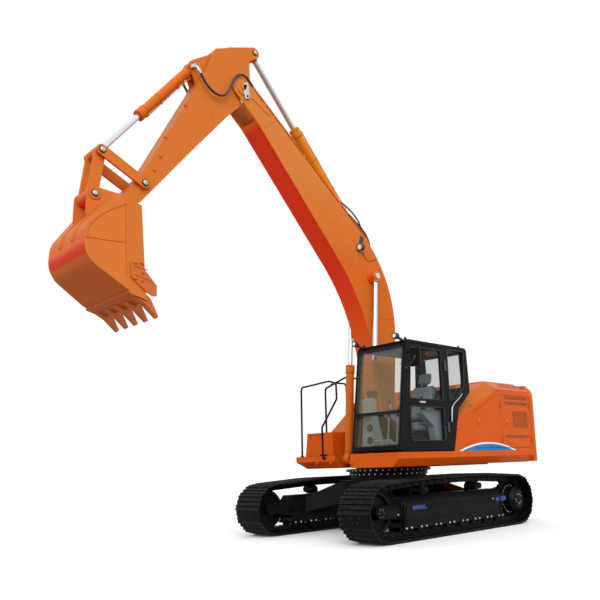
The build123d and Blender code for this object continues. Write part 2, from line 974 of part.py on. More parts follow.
def make_tanks():
    """Hydraulic tank and fuel tank along the right side, ahead of the pump door."""
    low, high = hydraulic_tank_span
    hydraulic = block((low, tank_outer, deck_top), (high, tank_inner, hydraulic_tank_top))
    hydraulic = fillet(hydraulic.edges().filter_by(Axis.Z), 60)
    hydraulic = chamfer(hydraulic.faces().sort_by(Axis.Z)[-1].edges(), 30)
    low, high = fuel_tank_span
    shape = [
        (low, deck_top),
        (high, deck_top),
        (high, fuel_tank_lip, 20),
        (low + 60, fuel_tank_top, 60),
        (low, fuel_tank_top, 20),
    ]
    fuel = side_prism(shape, tank_outer, tank_inner)
    return hydraulic, fuel


def tool_box_section(inset):
    """Cross outline of the tool box, which leans in a little on its outer side."""
    return [
        (tank_inner - inset, deck_top + inset),
        (tank_inner - inset, tool_box_top),
        (tank_outer + tool_box_slant + inset, tool_box_top),
        (tank_outer + inset, deck_top + inset),
    ]


def make_tool_box():
    """Open tool box in front of the fuel tank with a ledge for a rail, and its hinged lid."""
    low, high = tool_box_span
    ledge = tank_inner - tool_box_ledge
    body = front_prism(tool_box_section(0), low, high)
    room = front_prism(tool_box_section(tool_box_wall), low + tool_box_wall, high - tool_box_wall)
    body -= room & block((low, tank_outer, deck_top), (high, ledge - tool_box_wall, tool_box_top))
    body += block((low, ledge, tool_box_top - 20), (high, tank_inner, tool_box_top + lid_thickness))
    z = tool_box_top + seat_gap
    rear = low + lid_setback
    lid = block(
        (rear, tank_outer + tool_box_slant, z),
        (high + 12, ledge - door_gap, z + lid_thickness),
    )
    front_edges = lid.edges().filter_by(Axis.Z).group_by(Axis.X)[-1]
    lid = fillet(front_edges, 12)
    for y in (-1200, -940):
        lid += cross_rod((rear, z + lid_thickness + 5), 9, y - 40, y + 40)
    return body, lid


def make_handrails():
    """Three bent tubes around the right hand steps; the step rail joins the middle one."""
    outer = tank_outer + 45
    middle = tank_inner - tool_box_ledge + 30
    inner = tank_inner + 20
    rear = fuel_tank_span[0] + 120
    post = deck_front_right - 90
    top = fuel_tank_top + seat_gap
    box_front = tool_box_span[1]
    step_x = deck_front_right + step_rail_offset
    foot = (deck_top + deck_crease) / 2
    joint = (box_front - 200, middle, rail_knee + 30)
    outer_rail = [
        (post, outer, deck_top + seat_gap),
        (post - 30, outer, rail_knee),
        (post - 770, outer, rail_top),
        (post - 940, outer, rail_top - 25),
        (rear, outer, rail_top - 20),
        (rear, outer, top),
    ]
    middle_rail = [
        (box_front - 30, middle, tool_box_top + lid_thickness + seat_gap),
        (box_front - 40, middle, rail_knee - 60),
        (box_front - 580, middle, rail_top + 10),
        (rear + 60, middle, rail_top + 10),
        (rear + 60, middle, top),
    ]
    step_rail = [
        (deck_front_right + seat_gap, inner, foot),
        (step_x, inner, foot),
        (step_x - 5, inner, 1790),
        (box_front - 125, inner, rail_knee - 260),
        (box_front - 125, inner, rail_knee + 15),
        joint,
    ]
    outer_tube = tube_along(outer_rail, rail_tube_radius, rail_bend)
    inner_tube = tube_along(middle_rail, rail_tube_radius, rail_bend)
    inner_tube += tube_along(step_rail, rail_tube_radius, rail_tube_radius + 13)
    return [outer_tube, inner_tube]


# Cab


def front_x(z):
    """The leaning front of the cab at a height."""
    share = (z - cab_floor) / (cab_roof - cab_floor)
    return cab_front_bottom + (cab_front_top - cab_front_bottom) * share


def cab_outline():
    """Side view of the cab, whose rear follows the housing."""
    knee_x, knee_z = house_knee
    return [
        (house_front + door_gap, cab_floor),
        (knee_x + door_gap, knee_z + door_gap),
        (-600, 2280, 20),
        (-565, cab_roof, 70),
        (cab_front_top, cab_roof, 70),
        (cab_front_bottom, cab_floor, 30),
    ]


def cab_door_outline(gap):
    """Side view of the cab door, inset by a gap."""
    return [
        (cab_door_rear + gap, cab_door_bottom + gap, 40),
        (cab_door_rear + gap, cab_door_top - gap, 60),
        (cab_door_front_top - gap, cab_door_top - gap, 60),
        (cab_door_front - gap, cab_door_rail + 60, 300),
        (cab_door_front - gap, cab_door_bottom + gap, 40),
    ]


def door_panes():
    """The two glass openings of the cab door."""
    rear = cab_door_rear + cab_door_frame
    upper = [
        (rear, cab_door_rail + 60, 40),
        (rear, cab_door_top - 60, 50),
        (cab_door_front_top - cab_door_frame + 10, cab_door_top - 60, 50),
        (cab_door_front - cab_door_frame, cab_door_rail + 60, 40),
    ]
    lower = [
        (rear, cab_door_bottom + 110, 40),
        (rear, cab_door_rail - 60, 40),
        (cab_door_front - cab_door_frame, cab_door_rail - 60, 40),
        (cab_door_front - cab_door_frame, cab_door_bottom + 110, 40),
    ]
    return upper, lower


def cab_side_windows():
    """Fixed side windows: the rear quarter on the left and the long one on the right."""
    quarter = [
        (10, 2130, 30),
        (-130, 2130, 30),
        (-430, 2360, 30),
        (-470, window_top, 40),
        (10, window_top, 40),
    ]
    right = [
        (1120, 1960, 40),
        (-20, 1960, 40),
        (-430, 2360, 30),
        (-470, window_top, 40),
        (985, window_top, 40),
    ]
    return quarter, right


def make_cab():
    """Cab shell with its window openings, and the fixed panes that fill them."""
    side = outline(cab_outline())
    inner = offset(side, amount=-cab_wall)
    shell = extrude(Plane.XZ.offset(-cab_left) * side, cab_left - cab_right)
    room = extrude(Plane.XZ.offset(cab_wall - cab_left) * inner, cab_left - cab_right - 2 * cab_wall)
    shell -= room
    panes = []
    shell -= side_prism(cab_door_outline(0), cab_left - cab_wall - 5, cab_left + 5)
    quarter, right = cab_side_windows()
    glass_in = (cab_wall - glass_thickness) / 2
    shell -= side_prism(quarter, cab_left - cab_wall - 5, cab_left + 5)
    panes.append(side_prism(quarter, cab_left - glass_in - glass_thickness, cab_left - glass_in))
    shell -= side_prism(right, cab_right - 5, cab_right + cab_wall + 5)
    panes.append(side_prism(right, cab_right + glass_in, cab_right + glass_in + glass_thickness))
    low_y, high_y = cab_right + cab_wall, cab_left - cab_wall
    for bottom, top in (
        (cab_floor + 90, screen_split - screen_bar / 2),
        (screen_split + screen_bar / 2, cab_roof - 100),
    ):
        gap = block((cab_front_top - 140, low_y, bottom), (cab_front_bottom + 20, high_y, top))
        shell -= gap
        pane = side_prism(
            [
                (front_x(bottom - 20) - 20, bottom - 20),
                (front_x(top + 20) - 20, top + 20),
                (front_x(top + 20) - 20 - glass_thickness, top + 20),
                (front_x(bottom - 20) - 20 - glass_thickness, bottom - 20),
            ],
            low_y - 20,
            high_y + 20,
        )
        panes.append(pane & gap)
    rear = block((-700, low_y + 60, 2370), (-450, high_y - 60, cab_roof - 80))
    shell -= rear
    panes.append(block((-565, low_y + 60, 2370), (-565 + glass_thickness, high_y - 60, cab_roof - 80)))
    hatch = ((120, low_y + 120), (720, high_y - 120))
    shell -= block((*hatch[0], cab_roof - 100), (*hatch[1], cab_roof + 10))
    panes.append(block((*hatch[0], cab_roof - 30), (*hatch[1], cab_roof - 30 + glass_thickness)))
    for x in (80, 1180):
        for y in (cab_right + 90, cab_left - 90):
            shell += upright(x, y, cab_pad_radius, deck_top, cab_floor + 5)
    for knuckle in frame_knuckles(cab_door_rear + door_gap / 2, cab_left, cab_hinge_heights):
        shell += knuckle
    return shell, panes


def make_cab_door():
    """Cab door frame with its two panes, hinged at its rear edge."""
    door = side_prism(cab_door_outline(door_gap), cab_left - cab_door_thickness, cab_left)
    panes = []
    middle = cab_left - cab_door_thickness / 2
    for pane in door_panes():
        door -= side_prism(pane, cab_left - cab_door_thickness - 5, cab_left + 5)
        panes.append(side_prism(pane, middle - glass_thickness / 2, middle + glass_thickness / 2))
    for knuckle in door_knuckles(cab_door_rear + door_gap / 2, cab_left, cab_hinge_heights):
        door += knuckle
    return door, panes


def make_seat():
    """Operator's seat: pedestal, cushion, backrest and headrest."""
    floor = cab_floor + cab_wall
    middle = (cab_right + cab_left) / 2
    pedestal = block((120, middle - 200, floor), (520, middle + 200, 1640))
    cushion = block((60, middle - 240, 1640.3), (600, middle + 240, 1790))
    cushion = fillet(cushion.edges(), 40)
    seat_top = cab_roof - 610
    head_low, head_high = seat_top + 0.5, seat_top + 220
    back = side_prism(
        [(60, 1790.3), (180, 1790.3), (40, seat_top, 50), (-80, seat_top, 50)], middle - 230, middle + 230
    )
    head = side_prism(
        [(30, head_low, 30), (-70, head_low, 30), (-95, head_high, 40), (5, head_high, 40)],
        middle - 130,
        middle + 130,
    )
    return [pedestal, cushion, back, head]


def make_controls():
    """Consoles beside the seat with joysticks, travel levers on the floor and the monitor stand."""
    floor = cab_floor + cab_wall
    middle = (cab_right + cab_left) / 2
    solids = []
    for hand in (-1, 1):
        y = middle + hand * 330
        console = side_prism(
            [(20, floor), (260, floor), (330, 1700, 40), (620, 1900, 40), (600, 1960, 30), (-60, 1960, 30), (-60, 1700)],
            y - 65,
            y + 65,
        )
        stick = upright(520, y, 14, 1930, 2060) + upright(520, y, 26, 2050, 2160)
        solids.append(console + stick)
        pedal_y = middle + hand * 90
        lever = bar_between((930, floor + 4), (860, 1880), 12, pedal_y)
        pedal = side_prism(
            [(880, floor), (1100, floor), (1160, floor + 120), (1140, floor + 130)], pedal_y - 60, pedal_y + 60
        )
        solids.append(lever + pedal)
    desk_y = cab_right + cab_wall + 90
    stand = side_prism(
        [(760, floor), (1160, floor), (1110, 1800, 30), (1090, 2160, 30), (980, 2200, 30), (900, 1780, 60)],
        desk_y - 80,
        desk_y + 80,
    )
    solids.append(stand)
    return solids


def make_roof_lamps():
    """Two round work lamps on brackets at the front edge of the roof."""
    solids = []
    for y in (cab_right + 20, cab_left - 135):
        base = cab_front_top - 60
        bracket = side_prism(
            [
                (base - 60, cab_roof),
                (base + 20, cab_roof),
                (base + 110, cab_roof + 30),
                (base + 110, cab_roof + 60),
                (base - 60, cab_roof + 14),
            ],
            y - 14,
            y + 14,
        )
        lamp = Pos(base + 140, y, cab_roof + lamp_rise) * Rot(0, 90, 0) * Cylinder(lamp_radius, 76)
        lamp -= Pos(base + 178, y, cab_roof + lamp_rise) * Rot(0, 90, 0) * Cylinder(lamp_radius - 8, 16)
        solids.append(bracket + lamp)
    return solids


def make_mirror():
    """Rear view mirror on a bent arm at the left front pillar, ahead of the door's swing."""
    foot = (front_x(cab_roof - mirror_foot_drop) - mirror_foot_inset, cab_left, cab_roof - mirror_foot_drop)
    bend = tuple(a + b for a, b in zip(foot, mirror_bend))
    centre = tuple(a + b for a, b in zip(foot, mirror_head))
    arm = cross_rod((foot[0], foot[2]), 18, cab_left, cab_left + 12)
    arm += tube_along([(foot[0], cab_left + 6, foot[2]), bend, centre], 11, 30)
    head = Pos(*centre) * Rot(0, 0, mirror_turn) * Box(*mirror_size)
    head = fillet(head.edges(), 18)
    return arm + head


# Boom, arm, bucket and cylinders


def make_boom():
    """Banana boom: box section with a fork for the arm, bosses and cylinder ears."""
    x, z = arm_pivot
    profile = [
        (boom_foot[0] + 170, boom_foot[1] + 40),
        (630, 3880, 3200),
        (2960, 6443, 200),
        (x + 125, z - 120),
        (x - 120, z + 126),
        (-160, 4557, 2000),
        (-165, 3400, 300),
        (boom_foot[0] - 160, boom_foot[1] + 20),
    ]
    body = side_prism(profile, -boom_half, boom_half)
    body += cross_rod(boom_foot, 168, -boom_half, boom_half)
    body += cross_rod(arm_pivot, 172, -boom_half, boom_half)
    fork = boom_half - fork_plate
    body -= cross_rod(arm_pivot, fork_slot_radius, -fork, fork)
    for place, radius, reach in (
        (boom_foot, boss_radius, side_gap - 2),
        (arm_pivot, 120, 16),
        (boom_cylinder_eye, 110, boom_cylinder_offset - eye_half - boom_half - 7),
    ):
        for boss in pair(cross_rod(place, radius, boom_half, boom_half + reach)):
            body += boss
    body -= cross_rod(boom_foot, large_pin_radius + pin_gap, -upper_half, upper_half)
    body -= cross_rod(arm_pivot, large_pin_radius + pin_gap, -upper_half, upper_half)
    ear = [
        (arm_cylinder_foot[0], arm_cylinder_foot[1], eye_radius + 12),
        (arm_cylinder_foot[0] - 240, arm_cylinder_foot[1] - 330, 60),
        (arm_cylinder_foot[0] + 150, arm_cylinder_foot[1] - 70, 60),
    ]
    near = eye_half + 4
    plate = hull_prism(ear, near, near + ear_plate)
    for piece in pair(plate):
        body += piece
    body -= cross_rod(arm_cylinder_foot, pin_radius + pin_gap, -boom_half, boom_half)
    return body


def make_work_lamp():
    """Round work lamp on the left side of the boom, on a short bracket."""
    x, z = work_lamp_place
    near = boom_half + seat_gap
    plate = hull_prism([(x - 60, z + 190, 45), (x, z, 40)], near, near + 8)
    plate += block((x - 10, near, z - 14), (x + 20, near + 62, z + 14))
    lamp = Pos(x + 40, near + 62, z) * Rot(0, 100, 0) * Cylinder(work_lamp_radius, 80)
    lamp -= Pos(x + 82, near + 62, z - 7) * Rot(0, 100, 0) * Cylinder(work_lamp_radius - 8, 20)
    lamp -= block((x - 200, -boom_half, z - 200), (x + 200, near + 4, z + 200))
    return plate + lamp


def make_boom_pipes():
    """Two steel pipes along the back of the boom, on three clamps each, that turn in at the bend."""
    rise = pipe_rise
    top = (arm_pivot[0] - 120, arm_pivot[1] + 126)
    knee = (-160, 4557)
    length = math.dist(top, knee)
    ux, uz = (knee[0] - top[0]) / length, (knee[1] - top[1]) / length
    nx, nz = uz, -ux
    start = (top[0] + 130 * ux, top[1] + 130 * uz)
    solids = []
    for y in (-pipe_spread, pipe_spread):
        run = (start[0] + rise * nx - pipe_end[0]) / -ux
        route = [
            (start[0] + rise * nx, y, start[1] + rise * nz),
            (pipe_end[0], y, start[1] + rise * nz + run * uz),
            (pipe_end[0], y, pipe_end[1]),
        ]
        tube = tube_along(route, pipe_radius, pipe_bend)
        for share in pipe_clamps:
            x = top[0] + share * (knee[0] - top[0]) + rise / 2 * nx
            z = top[1] + share * (knee[1] - top[1]) + rise / 2 * nz
            clamp = Box(60, 2 * pipe_radius + 12, rise - 2 * seat_gap)
            tube += Pos(x, y, z) * Rot(0, math.degrees(math.atan2(-uz, ux)), 0) * clamp
        solids.append(tube)
    return solids


def make_boom_pins():
    """Arm pivot pin, arm cylinder foot pin and the ends of the boom cylinder pin."""
    reach = boom_half + 16 + 14
    pins = [cross_rod(arm_pivot, large_pin_radius, -reach, reach)]
    reach = eye_half + 4 + ear_plate + pin_cap
    pins.append(cross_rod(arm_cylinder_foot, pin_radius, -reach, reach))
    return pins


def make_arm():
    """Arm box with ears for its own cylinder and the bucket cylinder, and the bored nose."""
    x, z = arm_pivot
    profile = [
        (x - 190, z + 60, 60),
        (x - 185, z + 560, 120),
        (x - 120, z + 745, 90),
        (3690, 7365, 60),
        (3930, 6870, 100),
        (4050, 6600, 60),
        (5095, 4740, 60),
        (4990, 4600, 60),
        (4270, 5455, 900),
        (3480, 6370, 900),
        (x - 150, z - 120, 100),
    ]
    body = side_prism(profile, -arm_half, arm_half)
    nose = [
        (rocker_pin[0], rocker_pin[1], 105),
        (bucket_pin[0], bucket_pin[1], 100),
    ]
    body += hull_prism(nose, -arm_half, arm_half)
    near = eye_half + 4
    rod_ear = [
        (arm_cylinder_eye[0], arm_cylinder_eye[1], eye_radius + 12),
        (x - 90, z + 560, 70),
        (x + 140, z + 560, 90),
    ]
    tube_ear = [
        (bucket_cylinder_foot[0], bucket_cylinder_foot[1], eye_radius + 8),
        (3690, 7230, 70),
        (3950, 6690, 60),
    ]
    for ear in (rod_ear, tube_ear):
        for plate in pair(hull_prism(ear, near, near + ear_plate)):
            body += plate
    for place in (rocker_pin, bucket_pin):
        for boss in pair(cross_rod(place, 88, arm_half, link_boss_half)):
            body += boss
    holes = (
        (arm_cylinder_eye, pin_radius),
        (arm_pivot, large_pin_radius),
        (rocker_pin, pin_radius),
        (bucket_pin, pin_radius),
        (bucket_cylinder_foot, pin_radius),
    )
    for place, radius in holes:
        body -= cross_rod(place, radius + pin_gap, -upper_half, upper_half)
    return body


def make_arm_pins():
    """Rocker pin and bucket cylinder foot pin, and the capped ends at the arm cylinder eye."""
    reach = bucket_ear_inner + rocker_plate + 16
    pins = [cross_rod(rocker_pin, pin_radius, -reach, reach)]
    near = eye_half + 4
    far = near + ear_plate + pin_cap
    pins.append(cross_rod(bucket_cylinder_foot, pin_radius, -far, far))
    return pins + pair(cross_rod(arm_cylinder_eye, pin_radius, near, far))


def make_tube(foot, eye, length, radius, rod_radius, y):
    """Cylinder tube with its foot eye, a neck between the ears and the collar at its open end."""
    low, high = y - eye_half, y + eye_half
    end = along(foot, eye, length)
    body = bar_between(along(foot, eye, tube_neck), end, radius, y)
    body += bar_between(along(foot, eye, length - collar_length), end, radius + 10, y)
    neck = along(foot, eye, tube_neck + 5)
    body += hull_prism([(*foot, eye_radius), (*neck, eye_half)], low, high)
    body -= bar_between(along(foot, eye, tube_neck + 25), along(foot, eye, length + 10), rod_radius + seat_gap, y)
    return body - cross_rod(foot, pin_radius + pin_gap, low - 5, high + 5)


def make_rod(foot, eye, length, rod_radius, y):
    """Piston rod with its eye; an eye beside the boom carries a capped pin end outside."""
    start = along(eye, foot, length)
    body = bar_between(start, along(eye, foot, 30), rod_radius, y)
    body += cross_rod(eye, eye_radius, y - eye_half, y + eye_half)
    if y:
        side = math.copysign(1, y)
        cap = sorted((y + side * eye_half, y + side * (eye_half + pin_cap)))
        body += cross_rod(eye, pin_radius + 12, *cap)
    return body


def make_rockers():
    """Two rocker plates outside the arm, each with the capped end of the upper link pin."""
    near = bucket_ear_inner
    plate = hull_prism(
        [(rocker_pin[0], rocker_pin[1], 72), (link_pin[0], link_pin[1], 72)], near, near + rocker_plate
    )
    plate -= cross_rod(rocker_pin, pin_radius + pin_gap, near - 5, near + rocker_plate + 5)
    plate += cross_rod(link_pin, pin_radius, near, near + rocker_plate + pin_cap)
    return pair(plate)


def make_bucket_link():
    """Link from the rockers to the bucket: a fork with its pin ends above and one long boss below."""
    fork_in = eye_half + 15
    body = cross_rod(bucket_link_pin, 82, -link_boss_half, link_boss_half)
    for cheek in pair(
        hull_prism(
            [(link_pin[0], link_pin[1], 72), (bucket_link_pin[0], bucket_link_pin[1], 70)],
            fork_in + 30,
            link_boss_half - 12,
        )
    ):
        body += cheek
    for boss in pair(cross_rod(link_pin, 72, fork_in, link_boss_half)):
        body += boss
    lower = along(bucket_link_pin, link_pin, 150)
    body += bar_between(bucket_link_pin, lower, 55, 0) & block((5000, -120, 4000), (6500, 120, 6000))
    web = hull_prism(
        [(*along(bucket_link_pin, link_pin, 60), 40), (*along(bucket_link_pin, link_pin, 260), 30)],
        -link_boss_half + 30,
        link_boss_half - 30,
    )
    body += web
    body -= cross_rod(link_pin, pin_radius + pin_gap, -fork_in - 60, fork_in + 60)
    for pin in pair(cross_rod(link_pin, pin_radius + pin_gap, fork_in, link_boss_half)):
        body += pin
    return body - cross_rod(bucket_link_pin, pin_radius + pin_gap, -upper_half, upper_half)


def bucket_line(inset):
    """Side view of the bucket wrap: mouth, top, back and floor."""
    return [
        (5185 + inset * 0.2, 4400 - inset),
        (5540 - inset, 4475 - inset, 110),
        (5880 - inset, 4020 - inset * 0.3, 330),
        (5915 - inset, 3645 + inset, 320),
        (5345, 3285 + inset, 900),
        (5125, 3212 + inset),
    ]


def bucket_lip():
    """Side view of the thick lip plate, with the floor of the wrap behind it."""
    return [
        (5105, 3205),
        (5118, 3212 + lip_thickness),
        (5345, 3285 + lip_thickness + 8),
        (5360, 3275),
        (5345, 3265),
    ]


def bucket_plan(inset):
    """Plan of the bucket, straight at the mouth and narrower towards its back."""
    front, back = bucket_half - inset, bucket_back_half - inset
    return [
        (5000, front),
        (bucket_taper_start, front),
        (5960, back),
        (5960, -back),
        (bucket_taper_start, -front),
        (5000, -front),
    ]


def make_bucket():
    """Bucket shell with its ears, lip and the doubler along each side of the mouth."""
    body = side_prism(bucket_line(0), -bucket_half, bucket_half) & plan_prism(bucket_plan(0), 3000, 5000)
    room = bucket_line(bucket_wall)
    mouth = [(room[-1][0] - 200, room[-1][1] - 60), (room[0][0] - 200, room[0][1] + 10)]
    hollow = side_prism(room + mouth, -bucket_half, bucket_half)
    body -= hollow & plan_prism(bucket_plan(bucket_wall), 3000, 5000)
    body += side_prism(bucket_lip(), -bucket_half, bucket_half)
    near, far = bucket_ear_inner, bucket_ear_inner + bucket_ear_plate
    ear = [
        (bucket_pin[0], bucket_pin[1], 102),
        (bucket_link_pin[0], bucket_link_pin[1], 94),
        (5690, 4280, 40),
        (5270, 4410, 30),
    ]
    plate = hull_prism(ear, near, far)
    plate -= side_prism(bucket_line(10), near - 10, far + 10)
    for piece in pair(plate):
        body += piece
    for place in (bucket_pin, bucket_link_pin):
        for boss in pair(cross_rod(place, 76, far, far + ear_boss)):
            body += boss
    strap = side_prism(bucket_line(-wear_strap), near - 6, far + 6)
    strap -= side_prism(bucket_line(5), near - 10, far + 10)
    for piece in pair(strap & block((5560, near - 10, 3900), (6000, far + 10, 4400))):
        body += piece
    body -= cross_rod(bucket_pin, pin_radius + pin_gap, -upper_half, upper_half)
    for piece in pair(cross_rod(bucket_link_pin, pin_radius + pin_gap, near - 5, far + 40)):
        body -= piece
    return body


def make_bucket_pins():
    """Bucket pin through the arm nose, and the pin at the link."""
    far = bucket_ear_inner + bucket_ear_plate + ear_boss + 12
    return [cross_rod(bucket_pin, pin_radius, -far, far), cross_rod(bucket_link_pin, pin_radius, -far, far)]


def make_teeth():
    """Five tapered teeth along the lip and the two side cutters."""
    solids = []
    profile = [
        (5250, 3232),
        (5120, 3167),
        (4955, 3012),
        (4928, 3032),
        (5045, 3240),
        (5110, 3282),
        (5240, 3312),
    ]
    half, tip = tooth_width / 2, tooth_tip_width / 2
    for index in range(tooth_count):
        y = -tooth_spread / 2 + tooth_spread * index / (tooth_count - 1)
        plan = [
            (5260, y - half),
            (5090, y - half),
            (4920, y - tip),
            (4920, y + tip),
            (5090, y + half),
            (5260, y + half),
        ]
        tooth = side_prism(profile, y - half, y + half) & plan_prism(plan, 2900, 3400)
        solids.append(tooth - side_prism(bucket_lip(), -bucket_half, bucket_half))
    cutter = [
        (5345, 3650),
        (5230, 3655),
        (5190, 3615),
        (4990, 3405),
        (4990, 3275),
        (5040, 3265),
        (5130, 3305),
        (5320, 3445),
        (5345, 3480),
    ]
    return solids + pair(side_prism(cutter, bucket_half, bucket_half + cutter_plate))


def make_nodes():
    """Every piece of the machine under its plain name."""
    nodes = {"car_body": make_car_body()}
    for name, side in (("left", 1), ("right", -1)):
        nodes["track_frame_" + name] = make_track_frame(side)
        nodes["track_" + name] = make_track(side)
    nodes["front_idlers"] = [make_idler(side) for side in (1, -1)]
    nodes["drive_sprockets"] = [make_sprocket(side) for side in (1, -1)]
    nodes["final_drives"] = make_final_drive(1) + make_final_drive(-1)
    nodes["track_rollers"] = make_rollers(1) + make_rollers(-1)
    nodes["swing_bearing_lower"], nodes["swing_bearing_upper"] = make_bearing()

    nodes["main_frame"] = make_main_frame()
    nodes["frame_pins"] = make_frame_pins()
    nodes["deck_left"] = make_deck(deck_front_left, False)
    nodes["deck_right"] = mirrored(make_deck(deck_front_right, True))
    nodes["counterweight"] = make_counterweight()
    nodes["engine_block"] = make_engine()
    nodes["engine_housing"] = make_house()
    nodes["engine_hood"] = make_hood()
    front, middle, rear = door_seams
    nodes["service_door_front"] = make_side_door(front, middle, door_top_front, 1)
    nodes["service_door_rear"] = make_side_door(middle - door_post, rear, door_top, 1, True)
    nodes["door_vents"] = make_side_vents()
    nodes["top_vent"] = make_top_vent()
    nodes["pump_door"] = make_side_door(middle - door_post, rear, door_top, -1)
    nodes["hydraulic_tank"], nodes["fuel_tank"] = make_tanks()
    nodes["tool_box"], nodes["tool_box_lid"] = make_tool_box()
    nodes["handrails"] = make_handrails()

    nodes["cab_shell"], nodes["cab_glass"] = make_cab()
    nodes["cab_door"], nodes["cab_door_glass"] = make_cab_door()
    nodes["operator_seat"] = make_seat()
    nodes["cab_controls"] = make_controls()
    nodes["roof_lamps"] = make_roof_lamps()
    nodes["cab_mirror"] = make_mirror()

    nodes["boom"] = make_boom()
    nodes["boom_pins"] = make_boom_pins()
    nodes["work_lamp"] = make_work_lamp()
    nodes["boom_pipes"] = make_boom_pipes()
    nodes["arm"] = make_arm()
    nodes["arm_pins"] = make_arm_pins()
    for name, y in (("left", boom_cylinder_offset), ("right", -boom_cylinder_offset)):
        ends = (boom_cylinder_foot, boom_cylinder_eye)
        nodes["boom_cylinder_" + name] = make_tube(
            *ends, boom_tube_length, boom_tube_radius, boom_rod_radius, y
        )
        nodes["boom_rod_" + name] = make_rod(*ends, boom_rod_length, boom_rod_radius, y)
    ends = (arm_cylinder_foot, arm_cylinder_eye)
    nodes["arm_cylinder"] = make_tube(*ends, arm_tube_length, arm_tube_radius, arm_rod_radius, 0)
    nodes["arm_rod"] = make_rod(*ends, arm_rod_length, arm_rod_radius, 0)
    ends = (bucket_cylinder_foot, link_pin)
    nodes["bucket_cylinder"] = make_tube(
        *ends, bucket_tube_length, bucket_tube_radius, bucket_rod_radius, 0
    )
    nodes["bucket_rod"] = make_rod(*ends, bucket_rod_length, bucket_rod_radius, 0)
    nodes["rocker_links"] = make_rockers()
    nodes["bucket_link"] = make_bucket_link()
    nodes["bucket"] = make_bucket()
    nodes["bucket_pins"] = make_bucket_pins()
    nodes["bucket_teeth"] = make_teeth()
    return nodes


def solids_of(shape):
    """All solids of a piece or a list of pieces."""
    if isinstance(shape, (list, tuple)):
        return [solid for piece in shape for solid in solids_of(piece)]
    return list(shape.solids())


os.makedirs("parts", exist_ok=True)
for node, shape in make_nodes().items():
    solids = solids_of(shape)
    whole = solids[0] if len(solids) == 1 else Compound(children=solids)
    export_step(whole, f"parts/{node}.step")
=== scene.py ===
import json
import math

import bmesh
import bpy
from mathutils import Matrix, Vector
from mathutils.bvhtree import BVHTree


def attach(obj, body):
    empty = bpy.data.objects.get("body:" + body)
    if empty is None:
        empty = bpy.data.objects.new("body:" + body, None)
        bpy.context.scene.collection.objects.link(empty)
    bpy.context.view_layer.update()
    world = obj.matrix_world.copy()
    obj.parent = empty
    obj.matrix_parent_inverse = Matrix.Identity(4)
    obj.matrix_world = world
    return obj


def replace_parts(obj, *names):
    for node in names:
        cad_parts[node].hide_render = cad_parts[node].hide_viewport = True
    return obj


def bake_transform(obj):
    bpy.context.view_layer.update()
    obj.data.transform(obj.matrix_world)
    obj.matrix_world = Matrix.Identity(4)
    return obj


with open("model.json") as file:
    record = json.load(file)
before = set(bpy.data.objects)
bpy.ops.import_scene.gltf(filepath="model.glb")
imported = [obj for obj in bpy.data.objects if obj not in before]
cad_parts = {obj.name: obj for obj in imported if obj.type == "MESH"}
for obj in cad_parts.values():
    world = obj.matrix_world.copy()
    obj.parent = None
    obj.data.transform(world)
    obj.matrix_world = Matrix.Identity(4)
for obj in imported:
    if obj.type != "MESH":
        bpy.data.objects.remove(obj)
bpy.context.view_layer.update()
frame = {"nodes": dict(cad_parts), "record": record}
scene = bpy.context.scene

# Camera of the photograph: place in metres, heading, pitch and roll in degrees

CAMERA_PLACE = (9.234, 7.621, 1.150)
CAMERA_HEADING = -133.15
CAMERA_PITCH = 7.64
CAMERA_ROLL = -1.90
CAMERA_LENS = 40.1
CAMERA_SHIFT = (0.003, 0.126)


def make_camera():
    """The camera at the photograph's viewing angle."""
    data = bpy.data.cameras.new("camera")
    data.sensor_width = 36
    data.lens = CAMERA_LENS
    data.shift_x, data.shift_y = CAMERA_SHIFT
    data.clip_end = 200
    camera = bpy.data.objects.new("camera", data)
    turn = Matrix.Rotation(math.radians(CAMERA_HEADING - 90), 4, "Z")
    tilt = Matrix.Rotation(math.radians(90 + CAMERA_PITCH), 4, "X")
    roll = Matrix.Rotation(math.radians(CAMERA_ROLL), 4, "Z")
    camera.matrix_world = Matrix.Translation(CAMERA_PLACE) @ turn @ tilt @ roll
    scene.collection.objects.link(camera)
    scene.camera = camera


make_camera()

# Studio: a white surround, a soft sun over the camera's left shoulder and a pale floor

SKY_LOW = (0.84, 0.86, 0.88)
SKY_HIGH = (1.10, 1.12, 1.15)
GROUND_GLOW = (0.46, 0.39, 0.34)
SUN_FROM = (0.58, 0.68, 0.48)
SUN_POWER = 1.8
SUN_SOFTNESS = 50
FLOOR_SIZE = 60


